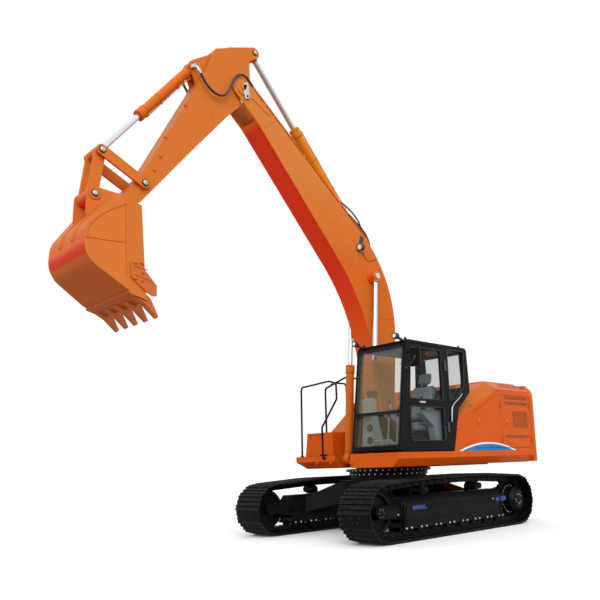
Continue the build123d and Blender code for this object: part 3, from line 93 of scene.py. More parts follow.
def make_sky():
    """Sky that is bright overhead and dark below the horizon, and plain white behind the object."""
    world = bpy.data.worlds.new("studio")
    scene.world = world
    world.use_nodes = True
    tree = world.node_tree
    sky = tree.nodes["Background"]
    coords = tree.nodes.new("ShaderNodeTexCoord")
    split = tree.nodes.new("ShaderNodeSeparateXYZ")
    height = tree.nodes.new("ShaderNodeMapRange")
    height.inputs["From Min"].default_value = -1
    ramp = tree.nodes.new("ShaderNodeValToRGB")
    stops = ((0.0, GROUND_GLOW), (0.485, GROUND_GLOW), (0.515, SKY_LOW), (1.0, SKY_HIGH))
    for place, colour in stops[1:3]:
        ramp.color_ramp.elements.new(place)
    for element, (place, colour) in zip(ramp.color_ramp.elements, stops):
        element.position = place
        element.color = (*colour, 1)
    tree.links.new(coords.outputs["Generated"], split.inputs[0])
    tree.links.new(split.outputs["Z"], height.inputs["Value"])
    tree.links.new(height.outputs[0], ramp.inputs[0])
    tree.links.new(ramp.outputs[0], sky.inputs["Color"])
    white = tree.nodes.new("ShaderNodeBackground")
    white.inputs["Color"].default_value = (1, 1, 1, 1)
    path = tree.nodes.new("ShaderNodeLightPath")
    choice = tree.nodes.new("ShaderNodeMixShader")
    tree.links.new(path.outputs["Is Camera Ray"], choice.inputs[0])
    tree.links.new(sky.outputs[0], choice.inputs[1])
    tree.links.new(white.outputs[0], choice.inputs[2])
    tree.links.new(choice.outputs[0], tree.nodes["World Output"].inputs["Surface"])


def make_sun():
    """A wide soft sun."""
    data = bpy.data.lights.new("sun", "SUN")
    data.energy = SUN_POWER
    data.angle = math.radians(SUN_SOFTNESS)
    sun = bpy.data.objects.new("sun", data)
    sun.rotation_euler = Vector(SUN_FROM).to_track_quat("Z", "Y").to_euler()
    scene.collection.objects.link(sun)


make_sky()
make_sun()
scene.view_settings.view_transform = "Standard"

# Surfaces: each is a principled shader with colour variation, grain, roughness and a lighter colour along the
# edges, which on some is a painted highlight


class Finish:
    """The nodes of one procedural material."""

    def __init__(self, name):
        self.material = bpy.data.materials.new(name)
        self.material.use_nodes = True
        self.tree = self.material.node_tree
        self.shader = self.tree.nodes["Principled BSDF"]
        coords = self.tree.nodes.new("ShaderNodeTexCoord")
        self.place = coords.outputs["Object"]
        self.facing = coords.outputs["Normal"]

    def node(self, kind, inputs=(), **settings):
        """A node with its settings, whose inputs are values or links."""
        made = self.tree.nodes.new("ShaderNode" + kind)
        for key, value in settings.items():
            setattr(made, key, value)
        for key, value in dict(inputs).items():
            if isinstance(value, bpy.types.NodeSocket):
                self.tree.links.new(value, made.inputs[key])
            else:
                made.inputs[key].default_value = value
        return made

    def noise(self, scale, detail=4.0, stretch=None):
        """Cloudy noise from 0 to 1 with so many cells per metre."""
        place = self.place
        if stretch:
            place = self.node("Mapping", {"Vector": place, "Scale": stretch}).outputs[0]
        inputs = {"Vector": place, "Scale": scale, "Detail": detail}
        return self.node("TexNoise", inputs).outputs[0]

    def span(self, value, low, high, to_low=0.0, to_high=1.0):
        """The value's stretch from low to high, clamped and moved to another stretch."""
        inputs = {0: value, 1: low, 2: high, 3: to_low, 4: to_high}
        return self.node("MapRange", inputs).outputs[0]

    def math(self, operation, a, b=0.0):
        """The result of a sum or a comparison."""
        return self.node("Math", {0: a, 1: b}, operation=operation).outputs[0]

    def mix(self, share, a, b):
        """Colour a turning into colour b."""
        made = self.node("Mix", data_type="RGBA")
        for index, value in ((0, share), (6, a), (7, b)):
            if isinstance(value, bpy.types.NodeSocket):
                self.tree.links.new(value, made.inputs[index])
            elif index:
                made.inputs[index].default_value = (*value, 1)
            else:
                made.inputs[index].default_value = value
        return made.outputs[2]

    def axis(self, vector, letter):
        """One component of a vector."""
        return self.node("SeparateXYZ", {0: vector}).outputs[letter]

    def rounded(self, radius):
        """The normal with its edges rounded, and how much of an edge a place is."""
        soft = self.node("Bevel", {"Radius": radius}, samples=4).outputs[0]
        true = self.node("NewGeometry").outputs["Normal"]
        dot = self.node("VectorMath", {0: soft, 1: true}, operation="DOT_PRODUCT").outputs["Value"]
        return soft, self.span(dot, 0.98, 0.80)

    def bump(self, height, depth, normal=None):
        """The normal with relief of so many metres."""
        inputs = {"Height": height, "Distance": depth, "Strength": 1.0}
        if normal is not None:
            inputs["Normal"] = normal
        return self.node("Bump", inputs).outputs[0]

    def set(self, **values):
        """Links or sets the shader's sockets, whose names have _ for a space."""
        for key, value in values.items():
            socket = self.shader.inputs[key.replace("_", " ")]
            if isinstance(value, bpy.types.NodeSocket):
                self.tree.links.new(value, socket)
            elif isinstance(value, tuple):
                socket.default_value = (*value, 1)
            else:
                socket.default_value = value


def scaled(colour, factor):
    """A lighter or darker colour."""
    return tuple(channel * factor for channel in colour)


def surface(name, colour, rough, vary=0.10, patch=3.0, grain=900.0, relief=0.00003,
            edge=None, edge_size=0.004, dust=None, tone=None, **sockets):
    """A material with patches of lighter and darker colour, grain in its relief and a lighter colour in
    patches along its edges, which is a painted highlight on the cab and partly one on the tracks.
    """
    look = Finish(name)
    cloud = look.noise(patch)
    base = look.mix(cloud, scaled(colour, 1 - vary), scaled(colour, 1 + vary))
    if tone:
        base = tone(look, base)
    if dust:
        film = look.math("MULTIPLY", look.span(look.noise(7.0, 8.0), 0.48, 0.72), dust[1])
        base = look.mix(film, base, dust[0])
    soft, edge_share = look.rounded(edge_size)
    if edge:
        # Lighter colour in patches along the edges: a painted highlight on the cab, partly a painted highlight
        # on the tracks
        edge_wear_and_highlight = look.math("MULTIPLY", edge_share, look.span(look.noise(45.0, 6.0), 0.35, 0.62))
        base = look.mix(look.math("MULTIPLY", edge_wear_and_highlight, edge[1]), base, edge[0])
    uneven = look.span(look.noise(18.0, 6.0), 0.3, 0.7, rough * 0.82, rough * 1.18)
    normal = look.bump(look.noise(grain, 2.0), relief, soft)
    look.set(Base_Color=base, Roughness=uneven, Normal=normal, **sockets)
    return look.material


# Paint colours, linear, and colours of painted light and shade

HOUSE_ORANGE = (0.620, 0.094, 0.004)
# Painted shade for faces of the house that look up
HOUSE_TOP_PAINTED_SHADE = (0.500, 0.105, 0.004)
BOOM_ORANGE = (0.620, 0.130, 0.009)
# Painted shade for faces of the boom, arm and bucket that look up, and a painted sky reflection in tan for
# their side faces
BOOM_TOP_PAINTED_SHADE = (0.520, 0.130, 0.008)
BOOM_TAN_PAINTED_REFLECTION = (0.640, 0.200, 0.036)
CYLINDER_YELLOW = (0.700, 0.235, 0.010)
# Painted shade in deep red for faces that look down, painted light under the boom's fork, and painted shade in
# brown for the bucket's floor
BELLY_RED_PAINTED_SHADE = (0.900, 0.050, 0.014)
FORK_PAINTED_LIGHT = (0.950, 0.220, 0.020)
BUCKET_BROWN_PAINTED_SHADE = (0.600, 0.145, 0.026)
EDGE_ORANGE = (0.780, 0.240, 0.050)
BLACK = (0.0040, 0.0044, 0.0054)
BLACK_EDGE = (0.080, 0.085, 0.090)
TRACK_BLACK = (0.0045, 0.0048, 0.0055)
DUST_GREY = (0.045, 0.046, 0.048)
# Painted reflection on the windscreen, warm low down and cool high up
SCREEN_PAINTED_REFLECTION_LOW = (0.360, 0.290, 0.110)
SCREEN_PAINTED_REFLECTION_HIGH = (0.240, 0.290, 0.320)
ARC_BLUE = (0.008, 0.135, 0.340)
ARC_WHITE = (0.820, 0.840, 0.860)

# Arc on the house's left side: circles of the white rim and the blue field in the side's plane

ARC_RIM = (-1.100, -1.530, 2.970)
ARC_FIELD = (-1.110, -1.545, 2.957)
ARC_SIDE = 1.35


def orange_with_painted_facing_light(look, base):
    """Orange with painted shade, a deeper orange, on faces that look up and painted light, a fuller orange, on
    those that look down.
    """
    slope = look.axis(look.facing, "Z")
    base = look.mix(look.span(slope, 0.15, 0.75), base, HOUSE_TOP_PAINTED_SHADE)
    return look.mix(look.span(slope, -0.15, -0.7), base, scaled(HOUSE_ORANGE, 1.3))


def side_arc(look, base):
    """A blue field under a thin white rim, low on the left side."""
    # Under the arc, the house's painted shade and painted light by facing
    base = orange_with_painted_facing_light(look, base)
    x, z = look.axis(look.place, "X"), look.axis(look.place, "Z")
    on_side = look.math("GREATER_THAN", look.axis(look.place, "Y"), ARC_SIDE)
    for (cx, cz, radius), colour in ((ARC_RIM, ARC_WHITE), (ARC_FIELD, ARC_BLUE)):
        reach = look.math("ADD", look.math("POWER", look.math("SUBTRACT", x, cx), 2.0),
                          look.math("POWER", look.math("SUBTRACT", z, cz), 2.0))
        inside = look.math("LESS_THAN", reach, radius * radius)
        if colour == ARC_BLUE:
            fade = look.span(look.noise(5.0), 0.3, 0.7, 0.0, 0.05)
            shade = look.mix(look.span(x, -1.9, -0.4), ARC_BLUE, scaled(ARC_BLUE, 1.35))
            colour = look.mix(fade, shade, ARC_WHITE)
        base = look.mix(look.math("MULTIPLY", inside, on_side), base, colour)
    return base


def boom_tone(look, base):
    """Painted light and shade by facing and height: a painted sky reflection in tan on the side faces, fading
    out low down, painted shade on faces that look up, deep red painted shade on the belly and painted light
    under the fork.
    """
    z = look.axis(look.place, "Z")
    aside = look.span(look.math("ABSOLUTE", look.axis(look.facing, "Y")), 0.80, 0.98)
    high = look.span(z, 4.5, 5.9, 0.0, 1.0)
    base = look.mix(look.span(look.axis(look.facing, "Z"), 0.2, 0.7), base, BOOM_TOP_PAINTED_SHADE)
    base = look.mix(look.math("MULTIPLY", aside, high), base, BOOM_TAN_PAINTED_REFLECTION)
    forward = look.math("SUBTRACT", look.axis(look.facing, "X"), look.axis(look.facing, "Z"))
    painted_belly_shade = look.math("MULTIPLY", look.span(forward, 0.45, 1.05), look.span(z, 3.2, 4.3, 0.35, 1.0))
    base = look.mix(painted_belly_shade, base, BELLY_RED_PAINTED_SHADE)
    # Painted light under the fork, where the arm shades it
    painted_fork_light = look.math("MULTIPLY", look.span(forward, 0.2, 0.6), look.span(z, 6.36, 6.48))
    return look.mix(painted_fork_light, base, FORK_PAINTED_LIGHT)


def arm_tone(look, base):
    """Painted light and shade by facing: a painted sky reflection in tan on the side faces, painted shade on
    faces that look up and red painted shade on the underside.
    """
    aside = look.span(look.math("ABSOLUTE", look.axis(look.facing, "Y")), 0.80, 0.98, 0.0, 0.55)
    base = look.mix(aside, base, BOOM_TAN_PAINTED_REFLECTION)
    slope = look.axis(look.facing, "Z")
    base = look.mix(look.span(slope, 0.1, 0.5), base, BOOM_TOP_PAINTED_SHADE)
    return look.mix(look.span(slope, -0.35, -0.9), base, BELLY_RED_PAINTED_SHADE)


def bucket_tone(look, base):
    """Painted light and shade by facing: painted shade on faces that look up, a painted sky reflection in tan
    on the sides, a red band of painted shade where the wrapper turns down and brown painted shade on the
    floor, which looks down.
    """
    slope = look.axis(look.facing, "Z")
    aside = look.span(look.math("ABSOLUTE", look.axis(look.facing, "Y")), 0.80, 0.98, 0.0, 0.8)
    base = look.mix(look.span(slope, 0.1, 0.6), base, BOOM_TOP_PAINTED_SHADE)
    base = look.mix(aside, base, BOOM_TAN_PAINTED_REFLECTION)
    under = look.math("MULTIPLY", look.span(slope, 0.12, -0.12), look.math("SUBTRACT", 1.0, aside))
    base = look.mix(under, base, scaled(BELLY_RED_PAINTED_SHADE, 0.72))
    return look.mix(look.span(slope, -0.34, -0.50), base, BUCKET_BROWN_PAINTED_SHADE)


PAINT = {"vary": 0.05, "patch": 1.6, "grain": 260.0, "relief": 0.00005,
         "edge": (EDGE_ORANGE, 0.35), "Coat_Weight": 0.01, "Coat_Roughness": 0.08, "IOR": 1.18}
house_paint = surface("house_paint", HOUSE_ORANGE, 0.34, tone=orange_with_painted_facing_light, **PAINT)
arc_paint = surface("house_paint_with_arc", HOUSE_ORANGE, 0.34, tone=side_arc, **PAINT)
boom_paint = surface("boom_paint", BOOM_ORANGE, 0.42, tone=boom_tone, **PAINT)
arm_paint = surface("arm_paint", BOOM_ORANGE, 0.42, tone=arm_tone, **PAINT)
bucket_paint = surface("bucket_paint", BOOM_ORANGE, 0.42, tone=bucket_tone, **PAINT)
cylinder_paint = surface("cylinder_paint", scaled(BOOM_ORANGE, 1.02), 0.36, **PAINT)
cylinder_yellow = surface("cylinder_yellow", CYLINDER_YELLOW, 0.36, **PAINT)
frame_paint = surface("frame_black", BLACK, 0.38, vary=0.25, edge=(BLACK_EDGE, 0.6),
                      dust=(DUST_GREY, 0.08), relief=0.00005, grain=240.0, IOR=1.20)
# The cab's blue-grey edge colour is a painted highlight
cab_paint = surface("cab_black", scaled(BLACK, 1.2), 0.26, vary=0.10, edge=((0.13, 0.15, 0.18), 0.6),
                    edge_size=0.007, relief=0.000002, grain=60.0, IOR=1.17)
# The track steel's light edge colour is partly worn steel and partly a painted highlight
track_steel = surface("track_steel", TRACK_BLACK, 0.42, vary=0.35, patch=14.0, Metallic=0.35,
                      edge=((0.17, 0.18, 0.20), 0.7), dust=(DUST_GREY, 0.12), relief=0.0002, grain=160.0,
                      IOR=1.25)
wheel_steel = surface("wheel_steel", BLACK, 0.45, vary=0.3, patch=9.0, edge=(BLACK_EDGE, 0.8),
                      dust=(DUST_GREY, 0.10), relief=0.0001, grain=200.0, IOR=1.22)
chrome = surface("rod_chrome", (0.74, 0.76, 0.79), 0.16, vary=0.04, Metallic=1.0, relief=0.000005)
pin_steel = surface("pin_steel", (0.52, 0.53, 0.55), 0.32, vary=0.12, patch=20.0, Metallic=0.9,
                    edge=((0.75, 0.76, 0.78), 0.6), relief=0.00003)
tooth_steel = surface("tooth_paint", scaled(BOOM_ORANGE, 0.92), 0.40, vary=0.10, patch=12.0,
                      edge=(EDGE_ORANGE, 0.8), relief=0.0001, grain=200.0)
zinc = surface("zinc", (0.60, 0.60, 0.58), 0.30, vary=0.15, patch=60.0, Metallic=0.85,
               edge=((0.85, 0.85, 0.83), 0.5), edge_size=0.002)
pipe_steel = surface("pipe_steel", (0.56, 0.50, 0.43), 0.28, vary=0.15, patch=10.0, Metallic=0.7)
rubber = surface("rubber", (0.014, 0.014, 0.015), 0.62, vary=0.2, patch=20.0, relief=0.00015,
                 edge=((0.06, 0.06, 0.062), 0.5), edge_size=0.003)
vent_brown = surface("vent_brown", (0.30, 0.075, 0.022), 0.55, vary=0.2, patch=12.0,
                     edge=(HOUSE_ORANGE, 0.7))
console_plastic = surface("console_plastic", (0.210, 0.270, 0.290), 0.50, vary=0.12, patch=9.0,
                          grain=1400.0, relief=0.0001, edge=((0.35, 0.40, 0.42), 0.5))
trim_plastic = surface("trim_plastic", (0.030, 0.032, 0.036), 0.48, vary=0.15, patch=12.0,
                       grain=1500.0, relief=0.0001, edge=((0.12, 0.12, 0.13), 0.6))
engine_grey = surface("engine_grey", (0.11, 0.115, 0.12), 0.50, vary=0.2, dust=(DUST_GREY, 0.3))
plate_blue = surface("plate_blue", (0.012, 0.055, 0.190), 0.40, vary=0.15, patch=25.0,
                     edge=((0.40, 0.46, 0.55), 0.8))
lamp_lens = surface("lamp_lens", (0.86, 0.87, 0.88), 0.10, vary=0.10, patch=60.0, grain=320.0,
                    relief=0.0006, Coat_Weight=1.0, Coat_Roughness=0.03)
mirror_glass = surface("mirror_glass", (0.72, 0.75, 0.78), 0.03, vary=0.02, Metallic=1.0,
                       relief=0.000002)


def seat_cloth():
    """Woven grey seat fabric with a soft sheen."""
    look = Finish("seat_fabric")
    waves = {"Scale": 140.0, "Distortion": 0.6, "Detail": 2.0, "Vector": look.place}
    warp = look.node("TexWave", waves, bands_direction="X").outputs[1]
    weft = look.node("TexWave", waves, bands_direction="Z").outputs[1]
    thread = look.math("MULTIPLY", warp, weft)
    tint = look.mix(look.noise(6.0), (0.190, 0.240, 0.255), (0.250, 0.305, 0.325))
    base = look.mix(look.span(thread, 0.1, 0.8, 0.0, 0.6), tint, (0.080, 0.100, 0.110))
    normal = look.bump(thread, 0.0006)
    rough = look.span(look.noise(30.0), 0.3, 0.7, 0.72, 0.9)
    look.set(Base_Color=base, Roughness=rough, Normal=normal, Sheen_Weight=0.35)
    return look.material


PANE_ALPHA = 0.10
SCREEN_ALPHA = 0.20
SCREEN_FOOT = (1.90, 1.96)


def tinted_glass():
    """Thin smoke-green glass that shows the cab's inside and mirrors the sky; the windscreen carries a painted
    reflection, warm low down and cool high up, and is less clear above its foot.
    """
    look = Finish("tinted_glass")
    base = look.mix(look.noise(1.5), (0.030, 0.040, 0.042), (0.050, 0.062, 0.064))
    film = look.span(look.noise(9.0, 6.0), 0.3, 0.75, 0.02, 0.06)
    ripple = look.bump(look.noise(2.5, 1.0), 0.0009)
    # Painted reflection on the windscreen, warm low down and cool high up, which shows more above its foot
    # where the pane is less clear
    front = look.span(look.axis(look.facing, "X"), 0.5, 0.9)
    height = look.axis(look.place, "Z")
    base = look.mix(front, base, look.mix(look.span(height, 2.70, 2.90), SCREEN_PAINTED_REFLECTION_LOW, SCREEN_PAINTED_REFLECTION_HIGH))
    above = look.math("MULTIPLY", front, look.span(height, *SCREEN_FOOT))
    alpha = look.span(above, 0.0, 1.0, PANE_ALPHA, SCREEN_ALPHA)
    look.set(Base_Color=base, Roughness=film, Normal=ripple, Alpha=alpha, IOR=1.5,
             Specular_IOR_Level=0.8)
    return look.material


seat_fabric = seat_cloth()
glass = tinted_glass()

FINISHES = {
    "body_orange": house_paint, "boom_orange": boom_paint, "frame_black": frame_paint,
    "track_black": track_steel, "wheel_black": wheel_steel, "cab_black": cab_paint,
    "tinted_glass": glass, "rod_chrome": chrome, "pin_steel": pin_steel,
    "tooth_steel": tooth_steel, "seat_fabric": seat_fabric, "console_plastic": console_plastic,
    "trim_plastic": trim_plastic, "engine_grey": engine_grey, "vent_brown": vent_brown,
    "pipe_steel": pipe_steel,
}
SPECIAL = {
    "engine_housing": arc_paint, "service_door_front": arc_paint, "service_door_rear": arc_paint,
    "arm": arm_paint, "rocker_links": arm_paint, "bucket_link": arm_paint, "bucket": bucket_paint,
    "boom_cylinder_left": cylinder_paint, "boom_cylinder_right": cylinder_paint,
    "arm_cylinder": cylinder_yellow, "bucket_cylinder": cylinder_paint, "boom_pins": boom_paint,
    "boom_pipes": cylinder_paint, "cab_mirror": cab_paint,
}


def dress_nodes():
    """Gives every solid of the frame its finish."""
    for row in frame["record"]["subparts"]:
        name = row["node"]
        mesh = frame["nodes"][name].data
        mesh.materials.clear()
        mesh.materials.append(SPECIAL.get(name) or FINISHES[row["material_slot"]])


dress_nodes()

# Floor

floor_mesh = bpy.data.meshes.new("floor")
corners = [(x * FLOOR_SIZE, y * FLOOR_SIZE, 0) for x, y in ((-1, -1), (1, -1), (1, 1), (-1, 1))]
floor_mesh.from_pydata(corners, [], [(0, 1, 2, 3)])
floor = bpy.data.objects.new("floor", floor_mesh)
scene.collection.objects.link(floor)
floor_mesh.materials.append(surface("pale_floor", (0.95, 0.95, 0.95), 0.85, vary=0.01, patch=0.5))
floor.visible_diffuse = False
floor.visible_glossy = False


# Forms: every piece is put together from lofts, in metres


def across(axis):
    """Two directions at right angles to an axis and to each other."""
    axis = Vector(axis).normalized()
    first = axis.orthogonal().normalized()
    if abs(axis.z) < 0.9:
        first = Vector((0, 0, 1)).cross(axis).normalized()
    return first, axis.cross(first)


def inset(outline, by):
    """The outline moved inwards, for an outline that runs counterclockwise."""
    moved = []
    for index, point in enumerate(outline):
        before, point = Vector(outline[index - 1]), Vector(point)
        after = Vector(outline[(index + 1) % len(outline)])
        a, b = (point - before).normalized(), (after - point).normalized()
        normal_a, normal_b = Vector((-a.y, a.x)), Vector((-b.y, b.x))
        middle = (normal_a + normal_b).normalized()
        moved.append(point + middle * (by / max(0.3, middle.dot(normal_a))))
    return moved


def box(x1, y1, x2, y2):
    """The corners of a rectangle, counterclockwise."""
    return [(x1, y1), (x2, y1), (x2, y2), (x1, y2)]


def row(start, step, count):
    """Places evenly spaced on a line."""
    return [Vector(start) + Vector(step) * index for index in range(count)]


def turned_by(angle, axis):
    """A turn about X, Y or Z."""
    return Matrix.Rotation(angle, 3, axis)


# Washer and head of a bolt of radius 1, as (height, radius)
WASHER = ((0, 1.25), (0.18, 1.25), (0.2, 1.2))
BOLT_HEAD = ((0.2, 1), (0.75, 1), (0.9, 0.82))


class Shape:
    """Points and faces of one piece."""

    def __init__(self):
        self.points = []
        self.faces = []

    def loft(self, rings, closed=False):
        """Joins rings of as many points each, and caps the ends of an open loft."""
        start, size = len(self.points), len(rings[0])
        for ring in rings:
            self.points.extend(tuple(point) for point in ring)
        for i in range(len(rings) if closed else len(rings) - 1):
            a, b = start + i * size, start + (i + 1) % len(rings) * size
            for j in range(size):
                k = (j + 1) % size
                self.faces.append((a + j, a + k, b + k, b + j))
        if not closed:
            last = start + (len(rings) - 1) * size
            self.faces.append(tuple(range(start + size - 1, start - 1, -1)))
            self.faces.append(tuple(range(last, last + size)))
        return self

    def turned(self, place, axis, profile, sides=20, turn=0.0, hollow=False):
        """A solid of revolution, or a ring, from (distance along the axis, radius) pairs."""
        place, axis = Vector(place), Vector(axis).normalized()
        u, v = across(axis)
        angles = [turn + 2 * math.pi * i / sides for i in range(sides)]
        spokes = [u * math.cos(a) + v * math.sin(a) for a in angles]
        rings = [[place + axis * along + spoke * radius for spoke in spokes] for along, radius in profile]
        return self.loft(rings, hollow)

    def shift(self, start, change):
        """Moves every point from the start-th on."""
        self.points[start:] = [tuple(change(Vector(point))) for point in self.points[start:]]
        return self

    def rod(self, start, end, radius, sides=14, chamfer=0.0):
        """A round bar between two points."""
        axis = Vector(end) - Vector(start)
        length = axis.length
        profile = [(0, radius), (length, radius)]
        if chamfer:
            profile = [(0, radius - chamfer), (chamfer, radius)]
            profile += [(length - along, small) for along, small in reversed(profile)]
        return self.turned(start, axis, profile, sides)

    def slab(self, outline, low, high, axis="y", chamfer=0.0):
        """An outline drawn across an axis, counterclockwise, between two places along it."""
        low, high = sorted((low, high))
        place = {
            "y": lambda p, d: (p[0], d, p[1]),
            "x": lambda p, d: (d, p[0], p[1]),
            "z": lambda p, d: (p[0], p[1], d),
        }[axis]
        steps = [(low, 0.0), (high, 0.0)]
        if chamfer:
            steps = [(low, chamfer), (low + chamfer, 0.0), (high - chamfer, 0.0), (high, chamfer)]
        rings = [[place(p, depth) for p in (inset(outline, by) if by else outline)] for depth, by in steps]
        return self.loft(rings)

    def block(self, centre, size, turn=None, chamfer=0.002):
        """A chamfered block, turned by a matrix about its centre."""
        half_x, half_y, half_z = (s / 2 for s in size)
        start = len(self.points)
        self.slab(box(-half_x, -half_y, half_x, half_y), -half_z, half_z, "z", min(chamfer, min(size) * 0.3))
        return self.shift(start, lambda p: (turn @ p if turn else p) + Vector(centre))

    def tube(self, line, radius, sides=12):
        """A round tube along a line of points."""
        line = [Vector(p) for p in line]
        u = across(line[1] - line[0])[0]
        rings = []
        for index, point in enumerate(line):
            ahead = line[min(index + 1, len(line) - 1)] - line[max(index - 1, 0)]
            u = (u - ahead.normalized() * u.dot(ahead.normalized())).normalized()
            v = ahead.normalized().cross(u)
            angles = [2 * math.pi * i / sides for i in range(sides)]
            rings.append([point + (u * math.cos(a) + v * math.sin(a)) * radius for a in angles])
        return self.loft(rings)

    def band(self, line, radius, sides=8):
        """A closed round bead along a loop of points."""
        line = [Vector(p) for p in line]
        rings = []
        side = (line[1] - line[0]).cross(line[2] - line[1]).normalized()
        for index, point in enumerate(line):
            ahead = (line[(index + 1) % len(line)] - line[index - 1]).normalized()
            out = ahead.cross(side).normalized()
            angles = [2 * math.pi * i / sides for i in range(sides)]
            rings.append([point + (out * math.cos(a) + side * math.sin(a)) * radius for a in angles])
        return self.loft(rings, closed=True)

    def bolt(self, place, axis, size, turn=0.3):
        """A hexagon head of so much radius on a round washer."""
        for profile, sides, start in ((WASHER, 14, 0.0), (BOLT_HEAD, 6, turn)):
            self.turned(place, axis, [(along * size, reach * size) for along, reach in profile], sides, start)
        return self

    def ring_of_bolts(self, place, axis, circle, count, size, start=0.0):
        """Bolts spaced evenly on a circle about an axis."""
        u, v = across(axis)
        for i in range(count):
            angle = start + 2 * math.pi * i / count
            spot = Vector(place) + (u * math.cos(angle) + v * math.sin(angle)) * circle
            self.bolt(spot, axis, size, turn=angle)
        return self


def piece(name, shape, material, body, smooth=35):
    """A finished piece that rides on a body, or on none."""
    mesh = bpy.data.meshes.new(name)
    mesh.from_pydata(shape.points, [], shape.faces)
    grown = bmesh.new()
    grown.from_mesh(mesh)
    bmesh.ops.recalc_face_normals(grown, faces=grown.faces)
    grown.to_mesh(mesh)
    grown.free()
    mesh.materials.append(material)
    mesh.shade_smooth()
    mesh.set_sharp_from_angle(angle=math.radians(smooth))
    made = bpy.data.objects.new(name, mesh)
    scene.collection.objects.link(made)
    if body:
        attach(made, body)
    return made


def flowing(route, steps=10):
    """Points along the smooth line that a route's points steer."""
    data = bpy.data.curves.new("route", "CURVE")
    data.dimensions = "3D"
    data.resolution_u = steps
    spline = data.splines.new("NURBS")
    spline.points.add(len(route) - 1)
    for point, place in zip(spline.points, route):
        point.co = (*place, 1)
    spline.order_u = 3
    spline.use_endpoint_u = True
    carrier = bpy.data.objects.new("route", data)
    mesh = bpy.data.meshes.new_from_object(carrier)
    line = [vertex.co.copy() for vertex in mesh.vertices]
    bpy.data.objects.remove(carrier)
    bpy.data.meshes.remove(mesh)
    bpy.data.curves.remove(data)
    return line


def rounded_loop(corners, radius, steps=4):
    """A closed outline whose corners are rounded by a simple curve."""
    points = []
    for index, corner in enumerate(corners):
        corner = Vector(corner)
        before = Vector(corners[index - 1]) - corner
        after = Vector(corners[(index + 1) % len(corners)]) - corner
        reach = min(radius, before.length * 0.45, after.length * 0.45)
        start, end = corner + before.normalized() * reach, corner + after.normalized() * reach
        for i in range(steps + 1):
            t = i / steps
            points.append(start * (1 - t) ** 2 + corner * 2 * t * (1 - t) + end * t ** 2)
    return points


def rounded_box(x1, y1, x2, y2, radius, steps=4):
    """A rectangle with rounded corners."""
    return rounded_loop(box(x1, y1, x2, y2), radius, steps)


# Tracks and running gear

TRACK_MIDDLE = 1.19
# Wheels that the chain's pins run round: x, z, radius
PIN_PITCH = 0.190
WHEELS = ((1.83, 0.434, 0.344), (0.75, 0.715, 0.120), (-0.75, 0.715, 0.120), (-1.83, 0.434, 0.344))
SHOE_FACE = 0.064
CHAIN_HALF = 0.118
ROLLERS_X = [1.27 - 2.54 / 7 * i for i in range(8)]
FRAME_FACE = 0.19


def pin_stations():
    """Chain pins as (x, z, outward angle), evenly spaced round the wheels."""
    runs = []
    headings = []
    for a, b in zip(WHEELS, WHEELS[1:] + WHEELS[:1]):
        heading = math.atan2(b[1] - a[1], b[0] - a[0])
        headings.append(heading - math.acos((a[2] - b[2]) / math.dist(a[:2], b[:2])))
    for index, (x, z, radius) in enumerate(WHEELS):
        turn = (headings[index] - headings[index - 1]) % (2 * math.pi)
        runs.append((radius * turn, (x, z, radius, headings[index - 1])))
        after = WHEELS[(index + 1) % len(WHEELS)]
        out = Vector((math.cos(headings[index]), math.sin(headings[index])))
        begin, end = Vector((x, z)) + out * radius, Vector(after[:2]) + out * after[2]
        runs.append(((end - begin).length, (begin, end, headings[index])))
    total = sum(length for length, _ in runs)
    count = round(total / PIN_PITCH)
    stations = []
    for index in range(count):
        distance = total * index / count
        for length, run in runs:
            if distance < length:
                break
            distance -= length
        if len(run) == 4:
            x, z, radius, start = run
            angle = start + distance / radius
            stations.append((x + radius * math.cos(angle), z + radius * math.sin(angle), angle))
        else:
            spot = run[0].lerp(run[1], distance / length)
            stations.append((spot.x, spot.y, run[2]))
    return stations


STATIONS = pin_stations()
SHOE_BOLT = 0.0125
# Bolts of a shoe: share of the pitch, distance from the chain's middle
SHOE_BOLTS = ((0.30, 0.045), (0.66, 0.095))
LINK_OUT = 0.104
LINK_SIZE = (0.62, 0.014, 0.062)
LINK_DROP = 0.012
CHAIN_PIN = [(0, 0.017), (0.004, 0.021), (2 * CHAIN_HALF - 0.004, 0.021), (2 * CHAIN_HALF, 0.017)]


def track_fittings(side, word):
    """Shoe bolts, chain pins and link bosses of one track."""
    bolts, chain = Shape(), Shape()
    middle = side * TRACK_MIDDLE
    for index, (x, z, angle) in enumerate(STATIONS):
        nx, nz, _ = STATIONS[(index + 1) % len(STATIONS)]
        chain.turned((x, middle - CHAIN_HALF, z), (0, 1, 0), CHAIN_PIN, 12)
        ahead = Vector((nx - x, 0, nz - z))
        out = Vector((ahead.z, 0, -ahead.x)).normalized()
        out = out if out.dot(Vector((math.cos(angle), 0, math.sin(angle)))) > 0 else -out
        share, width, height = LINK_SIZE
        for end in (-1, 1):
            centre = Vector((x, middle + end * LINK_OUT, z)) + ahead * 0.5 - out * LINK_DROP
            chain.block(centre, (ahead.length * share, width, height),
                        turned_by(-math.atan2(ahead.z, ahead.x), "Y"), 0.004)
        for share, reach in SHOE_BOLTS:
            for end in (-1, 1):
                spot = Vector((x, middle + end * reach, z)) + ahead * share + out * (SHOE_FACE - 0.003)
                bolts.bolt(spot, out, SHOE_BOLT, turn=0.4)
    piece("track_" + word + "_shoe_bolts", bolts, track_bolt, "undercarriage")
    piece("track_" + word + "_chain_links", chain, track_steel, "undercarriage")


